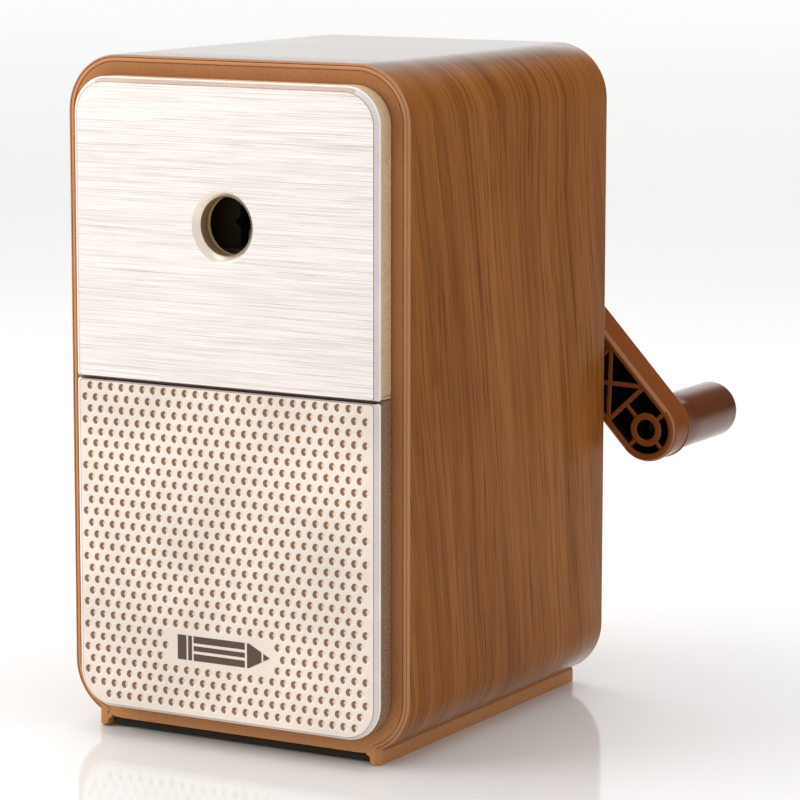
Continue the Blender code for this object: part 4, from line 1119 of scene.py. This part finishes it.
def coil(length, mean_radius, wire_radius, turns):
    """Round wire wound about the Y axis from y = 0 to length, with its end turns closed up."""
    steps = 20
    sides = 8
    closed = 2.1 * wire_radius
    sections = []
    for step in range(turns * steps + 1):
        turn = step / steps
        if turn < 1:
            y = closed * turn
        elif turn > turns - 1:
            y = length - 2 * wire_radius - closed * (turns - turn)
        else:
            y = closed + (length - 2 * wire_radius - 2 * closed) * (turn - 1) / (turns - 2)
        angle = 2 * math.pi * turn
        section = []
        for side in range(sides):
            around = 2 * math.pi * side / sides
            radius = mean_radius + wire_radius * math.cos(around)
            height = y + wire_radius + wire_radius * math.sin(around)
            section.append((radius * math.cos(angle), height, radius * math.sin(angle)))
        sections.append(section)
    return bridge(sections)


def springs(looks):
    """Feed springs round the guide rods and the jaws' closing spring."""
    length = FEED_SPRING_END - FEED_SPRING_START
    for name, x in (("left", -ROD_X), ("right", ROD_X)):
        middle = Matrix.Translation((x, FEED_SPRING_START, ROD_Z))
        thing = to_object(f"feed_coil_{name}", coil(length, *FEED_COIL), smooth=60, matrix=middle)
        piece(thing, "casing", [f"feed_spring_{name}"], [looks["spring_steel"]])
        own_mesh(thing)
    length = JAW_SPRING_END - JAW_SPRING_START
    start = Matrix.Translation((JAW_SPRING_START, JAW_SPRING_Y, PENCIL_Z))
    turn = Matrix.Rotation(math.radians(-90), 4, "Z")
    thing = to_object("jaw_coil", coil(length, *JAW_COIL), smooth=60, matrix=start @ turn)
    piece(thing, "feed_carriage", ["jaw_spring"], [looks["spring_steel"]])
    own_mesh(thing)


# ---------------------------------------------------------------- studio


def studio_floor():
    mesh = bpy.data.meshes.new("floor")
    corners = [(x * FLOOR_SIZE, y * FLOOR_SIZE, ORIGIN.z) for x, y in ((-1, -1), (1, -1), (1, 1), (-1, 1))]
    mesh.from_pydata(corners, [], [(0, 1, 2, 3)])
    floor = new_object("floor", mesh)
    mesh.materials.append(floor_look())


def studio_world():
    """White surround for the camera; as light it has a bright side, a band at the back and a dark flag."""
    world = bpy.data.worlds.new("studio")
    world.use_nodes = True
    tree = world.node_tree
    background = tree.nodes["Background"]
    coordinates = tree.nodes.new("ShaderNodeTexCoord").outputs["Generated"]

    def toward(direction, start, end, low, high):
        """Brightness that goes from low to high as a ray turns toward direction."""
        dot = tree.nodes.new("ShaderNodeVectorMath")
        dot.operation = "DOT_PRODUCT"
        tree.links.new(coordinates, dot.inputs[0])
        dot.inputs[1].default_value = Vector(direction).normalized()
        remap = tree.nodes.new("ShaderNodeMapRange")
        remap.interpolation_type = "SMOOTHSTEP"
        tree.links.new(dot.outputs["Value"], remap.inputs["Value"])
        for key, value in zip(("From Min", "From Max", "To Min", "To Max"), (start, end, low, high)):
            remap.inputs[key].default_value = value
        return remap.outputs[0]

    def math_node(operation, first, second):
        made = tree.nodes.new("ShaderNodeMath")
        made.operation = operation
        tree.links.new(first, made.inputs[0])
        tree.links.new(second, made.inputs[1])
        return made.outputs[0]

    sides = toward((1, 0.35, 0), -0.35, 0.65, WORLD_BRIGHT, WORLD_DARK)
    band = toward((-0.49, 0.857, 0.18), 0.72, 0.97, 0.0, WORLD_BAND)
    flag = toward((0.30, 0.87, 0.32), 0.80, 0.97, 1.0, 0.10)
    strength = math_node("MULTIPLY", math_node("ADD", sides, band), flag)
    path = tree.nodes.new("ShaderNodeLightPath")
    choose = tree.nodes.new("ShaderNodeMix")
    tree.links.new(path.outputs["Is Camera Ray"], choose.inputs[0])
    tree.links.new(strength, choose.inputs[2])
    choose.inputs[3].default_value = 1.0
    tree.links.new(choose.outputs[0], background.inputs["Strength"])
    background.inputs["Color"].default_value = (1.0, 1.0, 1.0, 1)
    scene = bpy.context.scene
    scene.world = world
    scene.view_settings.view_transform = "Standard"
    scene.view_settings.look = "None"


def studio_lights():
    """Soft square lights aimed at the casing."""
    for name, spot, size, power, color in LIGHTS:
        light = bpy.data.lights.new(name, "AREA")
        light.shape = "SQUARE"
        light.size = size
        light.energy = power
        light.color = color
        holder = new_object(name, light)
        holder.location = place(spot)
        aim = place(LIGHT_AIM) - holder.location
        holder.rotation_euler = aim.to_track_quat("-Z", "Y").to_euler()


# Looks of each new piece in the order of its material numbers
CASING_SKINS = ("tan_plastic", "bead_painted_highlight")
# the base plate's black is painted shade under the apron
BASE_SKINS = ("tan_plastic", "black_plastic")
FACEPLATE_SKINS = (
    "brushed_champagne", "polished_painted_reflection", "beige_plastic", "edge_painted_shade", "hole_painted_shade", "hole_ring",
    "glint", "painted_gap_shade", "top_chamfer_painted_reflection",
)
DRAWER_SKINS = (
    "cream_plastic", "polished_painted_reflection", "tea_plastic", "edge_painted_shade", "dimple", "dimple_shade",
    "glint", "dimple_lit", "painted_gap_shade",
)
ARM_SKINS = ("brown_plastic", "recess_painted_shade", "arm_edge_painted_highlight")

# CAD nodes whose look isn't their slot's; the grip pin is near-black as painted shade in its bore
LOOK_OF = {"grip_pin": "pin_painted_shade"}


def main():
    place_camera()
    looks = make_looks()
    for row in frame["record"]["subparts"]:
        node = frame["nodes"][row["node"]]
        node.data.materials.clear()
        node.data.materials.append(looks[LOOK_OF.get(row["node"], row["material_slot"])])

    for make, body, slot, replaced, skins in (
        (sleeve, "casing", "wood_grain_film", ["casing_sleeve"], ("wood_grain_film",)),
        (bezel, "casing", "tan_plastic", ["front_bezel"], CASING_SKINS),
        (base, "casing", "tan_plastic", ["base_plate"], BASE_SKINS),
        (upper_panel, "feed_carriage", "brushed_champagne", ["faceplate_skin"], FACEPLATE_SKINS),
        (lower_panel, "drawer", "cream_plastic", ["drawer_front"], DRAWER_SKINS),
        (mark, "drawer", "cream_plastic", (), ("mark_brown",)),
        (arm, "crank", "brown_plastic", ["crank_arm"], ARM_SKINS),
        (grip, "grip", "brown_plastic", ["crank_grip"], ("grip_brown",)),
    ):
        piece(make(), body, replaced, [looks[name] for name in skins])
    springs(looks)
    studio_floor()
    studio_world()
    studio_lights()


main()
